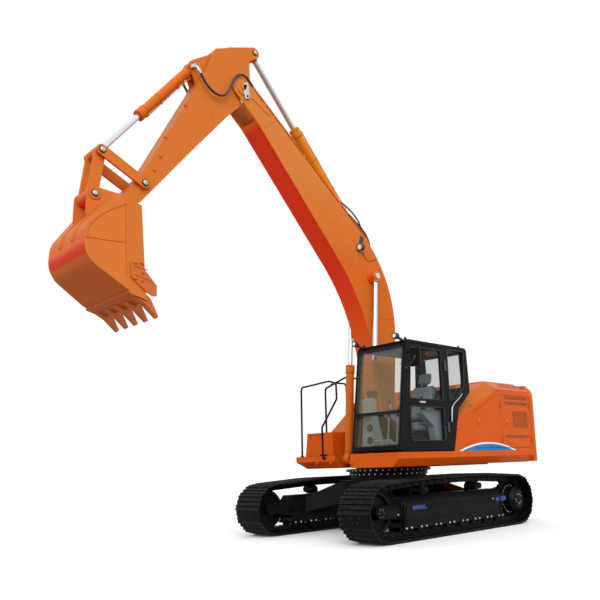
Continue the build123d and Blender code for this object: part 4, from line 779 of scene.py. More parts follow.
# Ledge, grease rod and strut of a side frame: (x, z) of both ends
LEDGE = ((1.35, 0.338), (-1.35, 0.292))
GREASE_ROD = ((0.817, 0.482), (-0.975, 0.473))
STRUT = ((1.833, 0.522), (1.400, 0.527))
BLUE_PLATES = ((0.790, 0.440, 1.150, 0.512), (-1.490, 0.432, -1.170, 0.503))
PLATE_THICK = 0.0035
PLATE_RIVET = [(0, 0.005), (0.002, 0.004)]
SEAM_HEIGHT = 0.512
SEAM_SIZE = (2.62, 0.014, 0.018)
END_RIB = (1.30, 0.35)
END_RIB_SIZE = (0.022, 0.014, 0.30)
ROD_CLIP_SIZE = (0.035, 0.036, 0.040)
STRUT_FOOT_SIZE = (0.04, 0.05, 0.06)
YOKE_BOLT = (1.45, 0.39)
GUARD_LINE = 0.186
GUARD_SIZE = (0.20, 0.016, 0.045)
GUARD_BOLT = 0.0135
GUARD_BOLT_STEP = 0.062
GUARD_LUG = [(-0.05, 0.10), (0.05, 0.10), (0.085, 0.20), (-0.085, 0.20)]
GUARD_LUG_OUT = 0.130
IDLER = (1.83, 0.434)
IDLER_FACE = 0.1503
IDLER_HUB = [(0, 0.075), (0.012, 0.075), (0.016, 0.068), (0.020, 0.050), (0.030, 0.046), (0.034, 0.036)]
CARRIER = (0.75, 0.715)
CARRIER_HUB = [(-0.01, 0.052), (0.006, 0.052), (0.012, 0.040), (0.020, 0.018)]


def frame_fittings(side, word):
    """What is bolted and welded to the outer and inner face of one side frame."""
    steel, bright, plates = Shape(), Shape(), Shape()
    middle = side * TRACK_MIDDLE
    for face in (-1, 1):
        out = Vector((0, face, 0))
        wall = middle + face * FRAME_FACE
        for x in ROLLERS_X:
            for step in (-GUARD_BOLT_STEP, GUARD_BOLT_STEP):
                bright.bolt((x + step, wall + face * 0.012, GUARD_LINE), out, GUARD_BOLT, turn=x)
            steel.block((x, wall + face * 0.004, GUARD_LINE), GUARD_SIZE, chamfer=0.003)
            lug_y = middle + face * GUARD_LUG_OUT
            steel.slab([(x + step, z) for step, z in GUARD_LUG], lug_y - 0.009, lug_y + 0.009, "y", 0.003)
        (x1, z1), (x2, z2) = LEDGE
        outline = [(x2, z2 - 0.012), (x1, z1 - 0.012), (x1, z1 + 0.004), (x2, z2 + 0.004)]
        steel.slab(outline, wall, wall + face * 0.014, "y", 0.003)
        steel.block((0, wall + face * 0.006, SEAM_HEIGHT), SEAM_SIZE, chamfer=0.004)
        for x in (-END_RIB[0], END_RIB[0]):
            steel.block((x, wall + face * 0.006, END_RIB[1]), END_RIB_SIZE, chamfer=0.004)
    outer = middle + side * FRAME_FACE
    rod_y = outer + side * 0.022
    (x1, z1), (x2, z2) = GREASE_ROD
    steel.rod((x1, rod_y, z1), (x2, rod_y, z2), 0.0085, 10)
    for x, z in ((x1, z1), (x2, z2), ((x1 + x2) / 2, (z1 + z2) / 2)):
        steel.block((x, outer + side * 0.012, z), ROD_CLIP_SIZE, chamfer=0.004)
    bright.bolt((x2 - 0.10, outer, z2 + 0.004), (0, side, 0), 0.012)
    (x1, z1), (x2, z2) = STRUT
    yoke = middle + side * IDLER_FACE
    steel.rod((x1, yoke + side * 0.012, z1), (x2, yoke + side * 0.012, z2), 0.010, 10)
    steel.block((x2, outer - side * 0.02, z2), STRUT_FOOT_SIZE, chamfer=0.005)
    steel.turned((IDLER[0], yoke, IDLER[1]), (0, side, 0), IDLER_HUB, 28)
    bright.ring_of_bolts((IDLER[0], yoke + side * 0.012, IDLER[1]), (0, side, 0), 0.060, 6, 0.0075)
    bright.bolt((YOKE_BOLT[0], yoke + side * 0.004, YOKE_BOLT[1]), (0, side, 0), 0.011)
    for x1, z1, x2, z2 in BLUE_PLATES:
        plates.slab(rounded_box(x1, z1, x2, z2, 0.012), outer, outer + side * PLATE_THICK, "y", 0.0008)
        for x in (x1 + 0.016, x2 - 0.016):
            bright.turned((x, outer + side * 0.003, (z1 + z2) / 2), (0, side, 0), PLATE_RIVET, 10)
    for x in (-CARRIER[0], CARRIER[0]):
        steel.turned((x, middle + side * 0.155, CARRIER[1]), (0, side, 0), CARRIER_HUB, 20)
    piece("track_frame_" + word + "_fittings", steel, frame_paint, "undercarriage")
    piece("track_frame_" + word + "_bolts", bright, zinc, "undercarriage")
    piece("track_frame_" + word + "_plates", plates, plate_blue, "undercarriage")


DRIVE_X = -1.83
DRIVE_Z = 0.434
DRIVE_FACE = 0.24
SPROCKET_FACE = 0.062
SPROCKET_CIRCLE = 0.238
DRIVE_COVER = [(-0.012, 0.150), (0.006, 0.150), (0.010, 0.142), (0.010, 0.118), (0.004, 0.112), (0.004, 0.060),
               (0.010, 0.054), (0.014, 0.030)]
HUB_CIRCLE = 0.086
PLUG_ANGLES = (0.5, math.pi, 5.2)
PLUG = [(0, 0.016), (0.008, 0.016), (0.012, 0.012)]
# Rows of bolts round the swing bearing: name, height, circle, count, first angle
BEARING_ROWS = (("lower", 0.958, 0.679, 40, 0.05), ("upper", 1.026, 0.729, 44, 0.0))


def drive_fittings():
    """Bolt circles and hub caps of the final drives."""
    bright, cover = Shape(), Shape()
    for side in (-1, 1):
        middle, out = side * TRACK_MIDDLE, (0, side, 0)
        centre = (DRIVE_X, middle + side * SPROCKET_FACE, DRIVE_Z)
        bright.ring_of_bolts(centre, out, SPROCKET_CIRCLE, 24, 0.0115, 0.13)
        hub = (DRIVE_X, middle + side * DRIVE_FACE, DRIVE_Z)
        cover.turned(hub, out, DRIVE_COVER, 40)
        face = Vector((DRIVE_X, middle + side * (DRIVE_FACE + 0.004), DRIVE_Z))
        bright.ring_of_bolts(face, out, HUB_CIRCLE, 12, 0.0075)
        for angle in PLUG_ANGLES:
            spoke = Vector((math.cos(angle), 0, math.sin(angle)))
            cover.turned(face + spoke * HUB_CIRCLE, out, PLUG, 16)
    piece("final_drive_bolts", bright, zinc, "undercarriage")
    piece("final_drive_covers", cover, frame_paint, "undercarriage")


def bearing_fittings():
    """The two rows of bolts round the swing bearing."""
    for name, height, circle, count, turn in BEARING_ROWS:
        row = Shape()
        for index in range(count):
            angle = turn + 2 * math.pi * index / count
            out = Vector((math.cos(angle), math.sin(angle), 0))
            row.bolt(out * circle + Vector((0, 0, height)), out, 0.0105, turn=angle)
        piece("swing_bearing_bolts_" + name, row, zinc, "upper")


track_bolt = surface("track_bolt", (0.030, 0.031, 0.033), 0.40, vary=0.4, patch=30.0, Metallic=0.6,
                     edge=((0.20, 0.20, 0.21), 0.8), edge_size=0.002)
for track_side, track_word in ((1, "left"), (-1, "right")):
    track_fittings(track_side, track_word)
    frame_fittings(track_side, track_word)
drive_fittings()
bearing_fittings()
# House, decks and rails. Places are (x, y, z), and turned profiles are (distance along the axis, radius)

X, Y, Z = Vector((1, 0, 0)), Vector((0, 1, 0)), Vector((0, 0, 1))
HOUSE_FACE = 1.360
LATCH_PLATE = 0.007
LATCH_PADDLE = 0.012
LATCHES = (
    ("service_door_front_latch", (-0.822, HOUSE_FACE, 1.785), "front_door_body"),
    ("service_door_rear_latch", (-1.748, HOUSE_FACE, 1.785), "rear_door_body"),
    ("pump_door_latch", (-1.72, -HOUSE_FACE, 1.785), "pump_door_body"),
)
LOCK_BUTTON = [(0, 0.013), (0.005, 0.013), (0.006, 0.011), (0.006, 0.004), (0.003, 0.003)]
HOUSE_CAPS = ((-0.206, 1.652), (-0.602, 2.060))
HOUSE_CAP = [(0, 0.015), (0.008, 0.015), (0.012, 0.010)]


def door_latches():
    """A flush paddle latch with a keyed button on each side door."""
    for name, place, body in LATCHES:
        side = math.copysign(1, place[1])
        plate, lock = Shape(), Shape()
        plate.slab(rounded_box(-0.036, -0.062, 0.036, 0.062, 0.016), 0, LATCH_PLATE, "y", 0.002)
        plate.slab(rounded_box(-0.022, -0.045, 0.022, 0.010, 0.010), LATCH_PLATE, LATCH_PADDLE, "y", 0.002)
        plate.shift(0, lambda p: (place[0] + p.x, place[1] + side * p.y, place[2] + p.z))
        lock.turned(Vector(place) + side * 0.006 * Y + 0.034 * Z, side * Y, LOCK_BUTTON, 18)
        piece(name, plate, house_paint, body)
        piece(name + "_lock", lock, zinc, body)


def house_trims():
    """Round caps on the left side of the house."""
    caps = Shape()
    for x, z in HOUSE_CAPS:
        caps.turned((x, HOUSE_FACE - 0.004, z), Y, HOUSE_CAP, 18)
    piece("house_caps", caps, trim_plastic, "upper")


HANDLES_Y = (-0.42, 0.42)
HANDLE_X = -2.50
HANDLE_HALF = [(-0.10, 2.560), (-0.10, 2.612), (-0.04, 2.618)]
HANDLE_FOOT = [(0, 0.018), (0.004, 0.018), (0.006, 0.012)]
HOOD_TOP = 2.566
HOOD_LATCHES_Y = (-0.90, 0.90)
# Latch of the hood: x, z and size of its paddle and its hook
HOOD_LATCH = ((-2.585, 2.572, (0.05, 0.045, 0.012)), (-2.600, 2.560, (0.018, 0.030, 0.050)))
RIB_LEVELS = (2.5655, 2.5735)
RIB_ENDS = (-2.34, -1.70)
RIB_HALF = 0.035
RIB_STEP = 0.26


def hood_fittings():
    """Grab handles, latches and pressed ribs of the engine hood."""
    rails, latches, ribs = Shape(), Shape(), Shape()
    for y in HANDLES_Y:
        route = HANDLE_HALF + [(-step, z) for step, z in reversed(HANDLE_HALF)]
        rails.tube(flowing([(HANDLE_X, y + step, z) for step, z in route], 8), 0.008, 10)
        for step in (-0.10, 0.10):
            rails.turned((HANDLE_X, y + step, HOOD_TOP), Z, HANDLE_FOOT, 14)
    for y in HOOD_LATCHES_Y:
        for x, z, size in HOOD_LATCH:
            latches.block((x, y, z), size, chamfer=0.004)
    rear, front = RIB_ENDS
    for index in range(-2, 3):
        y = RIB_STEP * index
        outline = rounded_box(rear, y - RIB_HALF, front, y + RIB_HALF, 0.030, 6)
        ribs.slab(outline, *RIB_LEVELS, "z", 0.004)
    piece("engine_hood_handles", rails, frame_paint, "hood_body")
    piece("engine_hood_latches", latches, rubber, "hood_body")
    piece("engine_hood_ribs", ribs, house_paint, "hood_body")


TREAD_STEP = 0.045
TREAD_EDGE = 0.035
TREAD_STUD = [(0, 0.010), (0.004, 0.0075), (0.0045, 0.004)]
TREAD_PADS = ((-1.42, -0.60, -1.30, -0.70, 2.330), (0.70, 0.90, -1.28, -0.90, 1.294),
              (0.72, 0.90, -0.80, -0.48, 1.294))
TIE_RING = [(0, 0.034), (0.012, 0.034), (0.014, 0.030), (0.014, 0.020), (0.004, 0.018)]
TOW_RING = [(0, 0.040), (0.014, 0.040), (0.018, 0.034), (0.018, 0.022), (0.006, 0.020)]
RAIL_FEET = ((0.83, -1.305), (0.67, -1.305), (0.83, -0.82), (0.915, -0.63))
RAIL_FOOT = [(0, 0.036), (0.008, 0.036), (0.010, 0.028), (0.030, 0.020)]
DECK_TOP = 1.294


def tread_pad(shape, x1, x2, y1, y2, z):
    """A non-slip plate with rows of punched studs."""
    shape.slab(rounded_box(x1, y1, x2, y2, 0.02), z, z + 0.004, "z", 0.0015)
    columns, rows = (int((length - 0.03) / TREAD_STEP) for length in (x2 - x1, y2 - y1))
    for i in range(columns):
        for j in range(rows):
            x = x1 + TREAD_EDGE + i * (x2 - x1 - 2 * TREAD_EDGE) / max(1, columns - 1)
            y = y1 + TREAD_EDGE + j * (y2 - y1 - 2 * TREAD_EDGE) / max(1, rows - 1)
            shape.turned((x, y, z + 0.0035), Z, TREAD_STUD, 8)


def deck_fittings():
    """Non-slip plates, tie-down rings and rail feet of the right deck and tank tops."""
    pads, rings, feet = Shape(), Shape(), Shape()
    for pad in TREAD_PADS:
        tread_pad(pads, *pad)
    for y in (-0.839, -0.50):
        rings.turned((0.918, y, 1.180), X, TIE_RING, 22)
    rings.turned((1.398, 0.425, 1.175), X, TOW_RING, 24)
    for x, y in RAIL_FEET:
        feet.turned((x, y, DECK_TOP), Z, RAIL_FOOT, 18)
    piece("deck_tread_plates", pads, tread_black, "upper")
    piece("deck_tie_rings", rings, house_paint, "upper")
    piece("handrail_feet", feet, cab_paint, "upper")


FUEL_CAP = (-0.30, -1.00, 2.145)
FUEL_CAP_FORM = [(0.0, 0.070), (0.014, 0.070), (0.016, 0.060), (0.040, 0.058), (0.048, 0.050), (0.050, 0.020)]
FUEL_CAP_RIBS = 10
FUEL_CAP_RIB = (0.012, 0.012, 0.030)
TANK_COVER = (-1.18, -0.78, 2.330)
TANK_COVER_FORM = [(0.0, 0.105), (0.012, 0.105), (0.014, 0.098), (0.016, 0.060), (0.022, 0.055)]
BREATHER = (-0.82, -0.78, 2.330)
BREATHER_FORM = [(0.0, 0.050), (0.030, 0.050), (0.034, 0.044), (0.060, 0.040), (0.066, 0.030)]
GAUGE_X = -0.95
GAUGE_FACE = -1.350
GAUGE_SCREW = [(0, 0.016), (0.008, 0.016), (0.012, 0.010)]
GAUGE_SCREWS = (1.66, 1.90)
GAUGE_PLATE = (GAUGE_X - 0.02, 1.64, GAUGE_X + 0.02, 1.92)
# Latches of the tool box: x, z and size on the lid and on the box
LID_LATCHES_Y = (-1.20, -0.95)
LID_LATCH = (0.703, 1.690, (0.012, 0.050, 0.050))
BOX_CATCH = (0.706, 1.640, (0.012, 0.036, 0.040))


def tank_fittings():
    """Filler caps, cover bolts and sight gauge of the tanks, latches of the tool box."""
    caps, bolts, gauge, lid, catch = (Shape() for _ in range(5))
    caps.turned(FUEL_CAP, Z, FUEL_CAP_FORM, 30)
    for index in range(FUEL_CAP_RIBS):
        angle = 2 * math.pi * index / FUEL_CAP_RIBS
        out = Vector((math.cos(angle), math.sin(angle), 0))
        caps.block(Vector(FUEL_CAP) + out * 0.059 + 0.030 * Z, FUEL_CAP_RIB, turned_by(angle, "Z"), 0.003)
    caps.turned(TANK_COVER, Z, TANK_COVER_FORM, 32)
    bolts.ring_of_bolts(Vector(TANK_COVER) + 0.012 * Z, Z, 0.086, 8, 0.009)
    caps.turned(BREATHER, Z, BREATHER_FORM, 26)
    for z in GAUGE_SCREWS:
        bolts.turned((GAUGE_X, GAUGE_FACE, z), -Y, GAUGE_SCREW, 16)
    gauge.slab(rounded_box(*GAUGE_PLATE, 0.012), GAUGE_FACE - 0.008, GAUGE_FACE + 0.002, "y", 0.003)
    for y in LID_LATCHES_Y:
        for shape, (x, z, size) in ((lid, LID_LATCH), (catch, BOX_CATCH)):
            shape.block((x, y, z), size, chamfer=0.004)
    piece("tank_caps", caps, trim_plastic, "upper")
    piece("tank_cap_bolts", bolts, zinc, "upper")
    piece("tank_sight_gauge", gauge, trim_plastic, "upper")
    piece("tool_box_lid_latches", lid, house_paint, "lid_body")
    piece("tool_box_catches", catch, house_paint, "upper")


tread_black = surface("tread_black", (0.010, 0.011, 0.012), 0.55, vary=0.3, patch=25.0,
                      edge=((0.10, 0.10, 0.105), 0.8), dust=(DUST_GREY, 0.3))
door_latches()
house_trims()
hood_fittings()
deck_fittings()
tank_fittings()

# Cab

CAB_FACE = 1.370
DOOR_FACE = 1.372
RIGHT_FACE = 0.374
FRONT_FOOT = (1.330, 1.310)
FRONT_LEAN = 0.255 / 1.72
REAR_FOOT = (-0.601, 2.28)
REAR_LEAN = 0.0467
GASKET = 0.010
# Panes of the two sides: outline as (x, z), y of the bead, body
SIDE_PANES = (
    ([(0.010, 2.130), (-0.130, 2.130), (-0.430, 2.360), (-0.470, 2.960), (0.010, 2.960)],
     CAB_FACE + 0.001, "upper"),
    ([(1.058, 2.110), (0.192, 2.110), (0.192, 2.920), (0.983, 2.920)], DOOR_FACE - 0.001, "cab_door_body"),
    ([(1.058, 1.466), (0.192, 1.466), (0.192, 1.990), (1.058, 1.990)], DOOR_FACE - 0.001, "cab_door_body"),
    ([(1.120, 1.960), (-0.020, 1.960), (-0.430, 2.360), (-0.470, 2.960), (0.985, 2.960)], RIGHT_FACE, "upper"),
)
# Front and rear panes: y and z of two corners
WINDSHIELDS = ((0.435, 1.400, 1.310, 1.885), (0.435, 1.925, 1.310, 2.930))
REAR_PANE = (0.50, 2.37, 1.24, 2.95)


def front_x(z):
    """The windshield plane at a height."""
    return FRONT_FOOT[0] - FRONT_LEAN * (z - FRONT_FOOT[1])


def rear_x(z):
    """The rear pane's outer face at a height."""
    return REAR_FOOT[0] + (z - REAR_FOOT[1]) * REAR_LEAN


def gasket(shape, outline, place, round_by=0.05):
    """A rubber bead round a pane."""
    shape.band([place(p) for p in rounded_loop(outline, round_by)], GASKET)


def cab_gaskets():
    """Rubber beads round every pane of the cab."""
    beads = {"upper": Shape(), "cab_door_body": Shape()}
    for outline, depth, body in SIDE_PANES:
        gasket(beads[body], outline, lambda p: (p[0], depth, p[1]))
    for pane in WINDSHIELDS:
        gasket(beads["upper"], box(*pane), lambda p: (front_x(p[1]) + 0.001, p[0], p[1]), 0.07)
    gasket(beads["upper"], box(*REAR_PANE), lambda p: (rear_x(p[1]), p[0], p[1]))
    piece("cab_gaskets", beads["upper"], rubber, "upper")
    piece("cab_door_gaskets", beads["cab_door_body"], rubber, "cab_door_body")


HANDLE_PLACE = (0.744, 2.062)
HANDLE_SCREW = [(0, 0.011), (0.006, 0.011), (0.007, 0.004)]
GRAB_BAR_X = 0.178
# Lower half of the door's grab bar: height over its foot, distance from the door
GRAB_BAR_HALF = ((0, -0.002), (0.004, 0.009), (0.03, 0.010))
GRAB_BAR_LEVELS = (1.500, 1.690)
# Hinge covers: x and z of two corners
HINGE_COVERS = ((0.062, 2.590, 0.116, 2.765), (0.062, 1.600, 0.116, 1.760))


def door_fittings():
    """Handle, grab bar and hinge covers of the cab door."""
    plate, handle, covers = Shape(), Shape(), Shape()
    x, z = HANDLE_PLACE
    plate.slab(rounded_box(x - 0.085, z - 0.030, x + 0.085, z + 0.030, 0.02), DOOR_FACE - 0.004,
               DOOR_FACE + 0.004, "y", 0.002)
    grip = [(x - 0.060, z - 0.012), (x + 0.055, z - 0.012), (x + 0.055, z + 0.010), (x - 0.060, z + 0.014)]
    handle.slab(rounded_loop(grip, 0.010), DOOR_FACE + 0.003, DOOR_FACE + 0.014, "y", 0.003)
    handle.turned((x + 0.068, DOOR_FACE + 0.003, z), Y, HANDLE_SCREW, 16)
    low, high = GRAB_BAR_LEVELS
    bar = [(GRAB_BAR_X, DOOR_FACE + out, low + up) for up, out in GRAB_BAR_HALF]
    bar += [(GRAB_BAR_X, DOOR_FACE + out, high - up) for up, out in reversed(GRAB_BAR_HALF)]
    plate.tube(flowing(bar, 8), 0.006, 12)
    for corners in HINGE_COVERS:
        covers.slab(rounded_box(*corners, 0.012), CAB_FACE - 0.002, CAB_FACE + 0.016, "y", 0.005)
    piece("cab_door_handle_plate", plate, trim_plastic, "cab_door_body")
    piece("cab_door_handle", handle, chrome, "cab_door_body")
    piece("cab_hinge_covers", covers, trim_plastic, "upper")


SIDE_BEAD = ((-0.46, 2.985), (0.2, 2.988), (1.05, 2.990))
FRONT_BEAD = ((0.42, 3.000), (0.87, 3.001), (1.33, 3.000))
SILVER_RAIL = ((-0.345, 2.245), (-0.300, 2.212), (-0.200, 2.140), (-0.083, 2.072), (-0.022, 2.010),
               (-0.004, 1.930), (0.007, 1.763))
RAIL_OUT = 0.022
LUG_OUTLINE = [(-0.035, 3.026), (0.035, 3.026), (0.020, 3.075), (-0.020, 3.075)]
LUG_EYE = [(0, 0.016), (0.020, 0.016)]
LUG_PLACES = ((1.00, 1.30), (-0.45, 1.30), (-0.45, 0.45), (1.00, 0.45))
ROOF_TOP = 3.028
HATCH = (0.14, 0.515, 0.70, 1.170)
HATCH_HINGE = (0.05, 0.06, 0.010)
HATCH_HINGES = ((0.13, 0.60), (0.13, 1.08))


def cab_trims():
    """Drip rails, grab rail, roof lugs and hatch of the cab."""
    beads, rail, lugs, hatch = (Shape() for _ in range(4))
    beads.tube([(x, CAB_FACE + 0.001, z) for x, z in SIDE_BEAD], 0.008, 8)
    beads.tube([(1.085, y, z) for y, z in FRONT_BEAD], 0.009, 8)
    (x1, z1), (x2, z2) = SILVER_RAIL[0], SILVER_RAIL[-1]
    route = [(x1, CAB_FACE - 0.004, z1), (x1, CAB_FACE + 0.014, z1)]
    route += [(x, CAB_FACE + RAIL_OUT, z) for x, z in SILVER_RAIL[1:-1]]
    route += [(x2, CAB_FACE + RAIL_OUT, z2 + 0.03), (x2, CAB_FACE + 0.016, z2), (x2, CAB_FACE - 0.004, z2)]
    rail.tube(flowing(route, 8), 0.0115, 14)
    for x, y in LUG_PLACES:
        lugs.slab([(x + step, z) for step, z in LUG_OUTLINE], y - 0.006, y + 0.006, "y", 0.002)
        lugs.turned((x, y - 0.010, 3.052), Y, LUG_EYE, 16)
    hatch.slab(rounded_box(*HATCH, 0.06, 6), ROOF_TOP, ROOF_TOP + 0.008, "z", 0.004)
    for x, y in HATCH_HINGES:
        hatch.block((x, y, ROOF_TOP + 0.009), HATCH_HINGE, chamfer=0.003)
    piece("cab_drip_rails", beads, cab_paint, "upper")
    piece("cab_grab_rail", rail, pin_steel, "upper")
    piece("cab_roof_lugs", lugs, cab_paint, "upper")
    piece("cab_hatch_trim", hatch, cab_paint, "upper")


LAMP_RIB_STEP = 0.011
LAMP_CENTRES = ((1.155, 0.395, 3.086), (1.155, 1.235, 3.086))
LAMP_LENS = [(0, 0.041), (0.003, 0.041), (0.006, 0.034), (0.008, 0.020), (0.0085, 0.004)]
LAMP_BEZEL = [(-0.030, 0.0475), (0.001, 0.0475), (0.003, 0.045), (0.003, 0.041), (-0.002, 0.040)]
LAMP_BACK = [(0, 0.044), (0.012, 0.034), (0.020, 0.018), (0.022, 0.010)]
LAMP_RIB = [(0, 0.0475), (0.0015, 0.0500), (0.0045, 0.0500), (0.006, 0.0475)]


def lamp_lenses():
    """Lens, bezel, ribs and back of the two roof lamps."""
    lens, bezel = Shape(), Shape()
    for centre in map(Vector, LAMP_CENTRES):
        lens.turned(centre + 0.030 * X, X, LAMP_LENS, 28)
        bezel.turned(centre + 0.0385 * X, X, LAMP_BEZEL, 32)
        bezel.turned(centre - 0.038 * X, -X, LAMP_BACK, 24)
        for place in row(centre - 0.028 * X, LAMP_RIB_STEP * X, 5):
            bezel.turned(place, X, LAMP_RIB, 28)
    piece("roof_lamp_lenses", lens, lamp_lens, "upper")
    piece("roof_lamp_bezels", bezel, trim_plastic, "upper")


MIRROR_CENTRE = Vector((1.1485, 1.585, 2.711))
MIRROR_TURN = math.radians(20)
MIRROR_PANE = (-0.062, -0.127, 0.062, 0.127)
MIRROR_RIM = (-0.0645, -0.1295, 0.0645, 0.1295)
MIRROR_BOSS = [(0, 0.020), (0.010, 0.018), (0.018, 0.014)]
STAY_FOOT = [(0, 0.022), (0.010, 0.022), (0.014, 0.014)]
# Lower stay of the mirror: x, distance from the cab's side, z
STAY_ROUTE = ((1.118, 0, 2.566), (1.130, 0.050, 2.566), (1.175, 0.130, 2.585), (1.200, 0.190, 2.640))


def mirror_fittings():
    """Glass and rim of the rear view mirror and its lower stay."""
    turn = turned_by(MIRROR_TURN, "Z")
    pane, rim = Shape(), Shape()
    pane.slab(rounded_box(*MIRROR_PANE, 0.03, 6), -0.0285, -0.0255, "x", 0.001)
    pane.shift(0, lambda p: turn @ p + MIRROR_CENTRE)
    loop = rounded_box(*MIRROR_RIM, 0.035, 6)
    rim.band([turn @ Vector((-0.0245, *p)) + MIRROR_CENTRE for p in loop], 0.004)
    out = turn @ X
    back = out * 0.026 + MIRROR_CENTRE
    rim.turned(back, out, MIRROR_BOSS, 16)
    stay = [(x, CAB_FACE + y, z) for x, y, z in STAY_ROUTE]
    rim.tube(flowing([*stay, tuple(back + out * 0.022 - 0.03 * Z), tuple(back + out * 0.010)], 8), 0.008, 10)
    rim.turned((1.118, CAB_FACE - 0.002, 2.566), Y, STAY_FOOT, 16)
    piece("cab_mirror_glass", pane, mirror_glass, "upper")
    piece("cab_mirror_trim", rim, trim_plastic, "upper")


CAB_MIDDLE = 0.8725
JOYSTICK_BOOT = [(0, 0.048), (0.010, 0.046), (0.022, 0.036), (0.034, 0.038), (0.046, 0.026), (0.060, 0.022)]
JOYSTICK_KNOB = [(0, 0.016), (0.020, 0.024), (0.060, 0.027), (0.095, 0.022), (0.105, 0.012)]
LEVER_BOOT = [(0, 0.050), (0.012, 0.046), (0.030, 0.034), (0.044, 0.036), (0.058, 0.020)]
LEVER_KNOB = [(0, 0.014), (0.014, 0.022), (0.050, 0.024), (0.066, 0.014)]
SPEAKER = [(0, 0.060), (0.008, 0.060), (0.012, 0.052), (0.012, 0.044), (0.004, 0.018), (0.010, 0.006)]
AIR_VENT = [(0, 0.060), (0.008, 0.060), (0.012, 0.052), (0.004, 0.030), (0.010, 0.008)]
# Levers on both sides of the seat: x, y from the middle, z, axis, form, sides
LEVERS = (
    (0.52, 0.33, 1.955, (0, 0, 1), JOYSTICK_BOOT, 20), (0.52, 0.33, 2.075, (0.06, 0, 1), JOYSTICK_KNOB, 18),
    (0.90, 0.09, 1.372, (0, 0, 1), LEVER_BOOT, 18), (0.866, 0.09, 1.86, (-0.14, 0, 1), LEVER_KNOB, 16),
)
# Speakers and air vents of the console: place, axis, form
CONSOLE_ROUNDS = (
    ((1.135, 0.605, 1.700), (0.15, 1, 0), SPEAKER), ((1.108, 0.525, 1.700), (1, 0, 0.1), AIR_VENT),
    ((1.145, 0.605, 1.500), (0.15, 1, 0), SPEAKER), ((1.128, 0.525, 1.500), (1, 0, 0.1), AIR_VENT),
)
SWITCH = (0.030, 0.022, 0.008)
SWITCH_FIRST = (0.34, 0.362, 1.962)
SWITCH_STEP = (0.055, 0, 0)
PEDAL_RIB = (0.010, 0.085, 0.010)
PEDAL_FIRST = (0.98, 0.12, 1.405)
PEDAL_STEP = (0.03, 0, 0.004)
MAT_RIB = (0.100, 0.76, 0.006)
MAT_FIRST = (0.30, CAB_MIDDLE, 1.373)
MAT_STEP = (0.125, 0, 0)
SCREEN_TILT = 0.30
# Screen's case and glass: place and size
SCREEN_CASE = ((0.985, 0.560, 2.245), (0.040, 0.200, 0.140))
SCREEN_GLASS = ((0.962, 0.560, 2.240), (0.006, 0.170, 0.110))
GRIPS_Y = (0.470, 1.275)
GRIP_ROUTE = ((1.135, 2.655), (1.105, 2.650), (1.085, 2.665), (1.078, 2.730), (1.088, 2.750), (1.115, 2.752))


def inside_fittings():
    """Knobs, boots, pedal ribs, speakers, screen, switches, floor mat and screen grips in the cab."""
    dark, face, mat, grips = (Shape() for _ in range(4))
    for side in (-1, 1):
        for x, away, z, axis, form, sides in LEVERS:
            dark.turned((x, CAB_MIDDLE + side * away, z), axis, form, sides)
        for shape, (x, away, z), step, count, size in ((face, SWITCH_FIRST, SWITCH_STEP, 4, SWITCH),
                                                       (dark, PEDAL_FIRST, PEDAL_STEP, 6, PEDAL_RIB)):
            for place in row((x, CAB_MIDDLE + side * away, z), step, count):
                shape.block(place, size, chamfer=0.002)
    for place, axis, form in CONSOLE_ROUNDS:
        dark.turned(place, axis, form, 28)
    tilt = turned_by(SCREEN_TILT, "Y")
    dark.block(*SCREEN_CASE, tilt, 0.012)
    face.block(*SCREEN_GLASS, tilt, 0.002)
    for place in row(MAT_FIRST, MAT_STEP, 7):
        mat.block(place, MAT_RIB, chamfer=0.003)
    for y in GRIPS_Y:
        grips.tube(flowing([(x, y, z) for x, z in GRIP_ROUTE], 6), 0.006, 8)
    piece("cab_knobs_and_boots", dark, rubber, "upper")
    piece("cab_switches_and_screen", face, trim_plastic, "upper")
    piece("cab_floor_mat", mat, rubber, "upper")
    piece("windshield_grips", grips, trim_plastic, "upper")


cab_gaskets()
door_fittings()
cab_trims()
lamp_lenses()
mirror_fittings()
inside_fittings()
# Boom, arm and bucket. Weld lines and side places are (x, z)

BOOM_SIDE = 0.190
ARM_SIDE = 0.140
BOOM_BEADS = (
    [(2.847, 6.356), (2.574, 6.581)],
    [(1.528, 4.940), (1.323, 5.183), (1.132, 5.389)],
    [(0.56, 3.60), (0.40, 3.66), (-0.14, 3.70)],
)
FORK_BEAD = [(3.240, 6.712), (3.180, 6.628), (3.112, 6.534), (3.010, 6.452), (2.890, 6.377)]
HEAD_STRIP = [(2.676, 6.626), (2.696, 6.606), (3.062, 6.780), (3.042, 6.812)]
LOCK_PLATE = [(3.237, 6.951), (3.141, 6.995), (3.106, 6.755), (3.205, 6.699)]
LOCK_BOLTS = ((3.190, 6.922), (3.158, 6.765))
HEAD_NIPPLES = ((3.254, 6.634), (3.272, 6.655))
LAMP_NIPPLES = ((0.790, 4.734), (0.792, 4.652))
LAMP_CABLE = ((0.650, 0.200, 4.800), (0.614, 0.196, 4.784), (0.570, 0.194, 4.715), (0.500, 0.194, 4.668),
              (0.429, 0.194, 4.671), (0.350, 0.194, 4.715), (0.277, 0.194, 4.733), (0.225, 0.190, 4.790))
LAMP_PLACE = Vector((0.740, 0.2535, 4.860))
LAMP_ANGLE = math.radians(100)
BIG_LENS = [(0, 0.053), (0.004, 0.053), (0.008, 0.044), (0.011, 0.026), (0.012, 0.005)]
BIG_BEZEL = [(-0.012, 0.0625), (0.004, 0.0635), (0.007, 0.060), (0.007, 0.055), (0, 0.053)]
BIG_BACK = [(0, 0.058), (0.014, 0.046), (0.026, 0.024), (0.028, 0.012)]
BACK_HOSE = ((0.930, 5.430), (0.800, 5.358), (0.653, 5.277), (0.494, 5.160), (0.420, 5.040), (0.412, 4.965),
             (0.430, 4.900))
BACK_HOSE_Y = 0.168
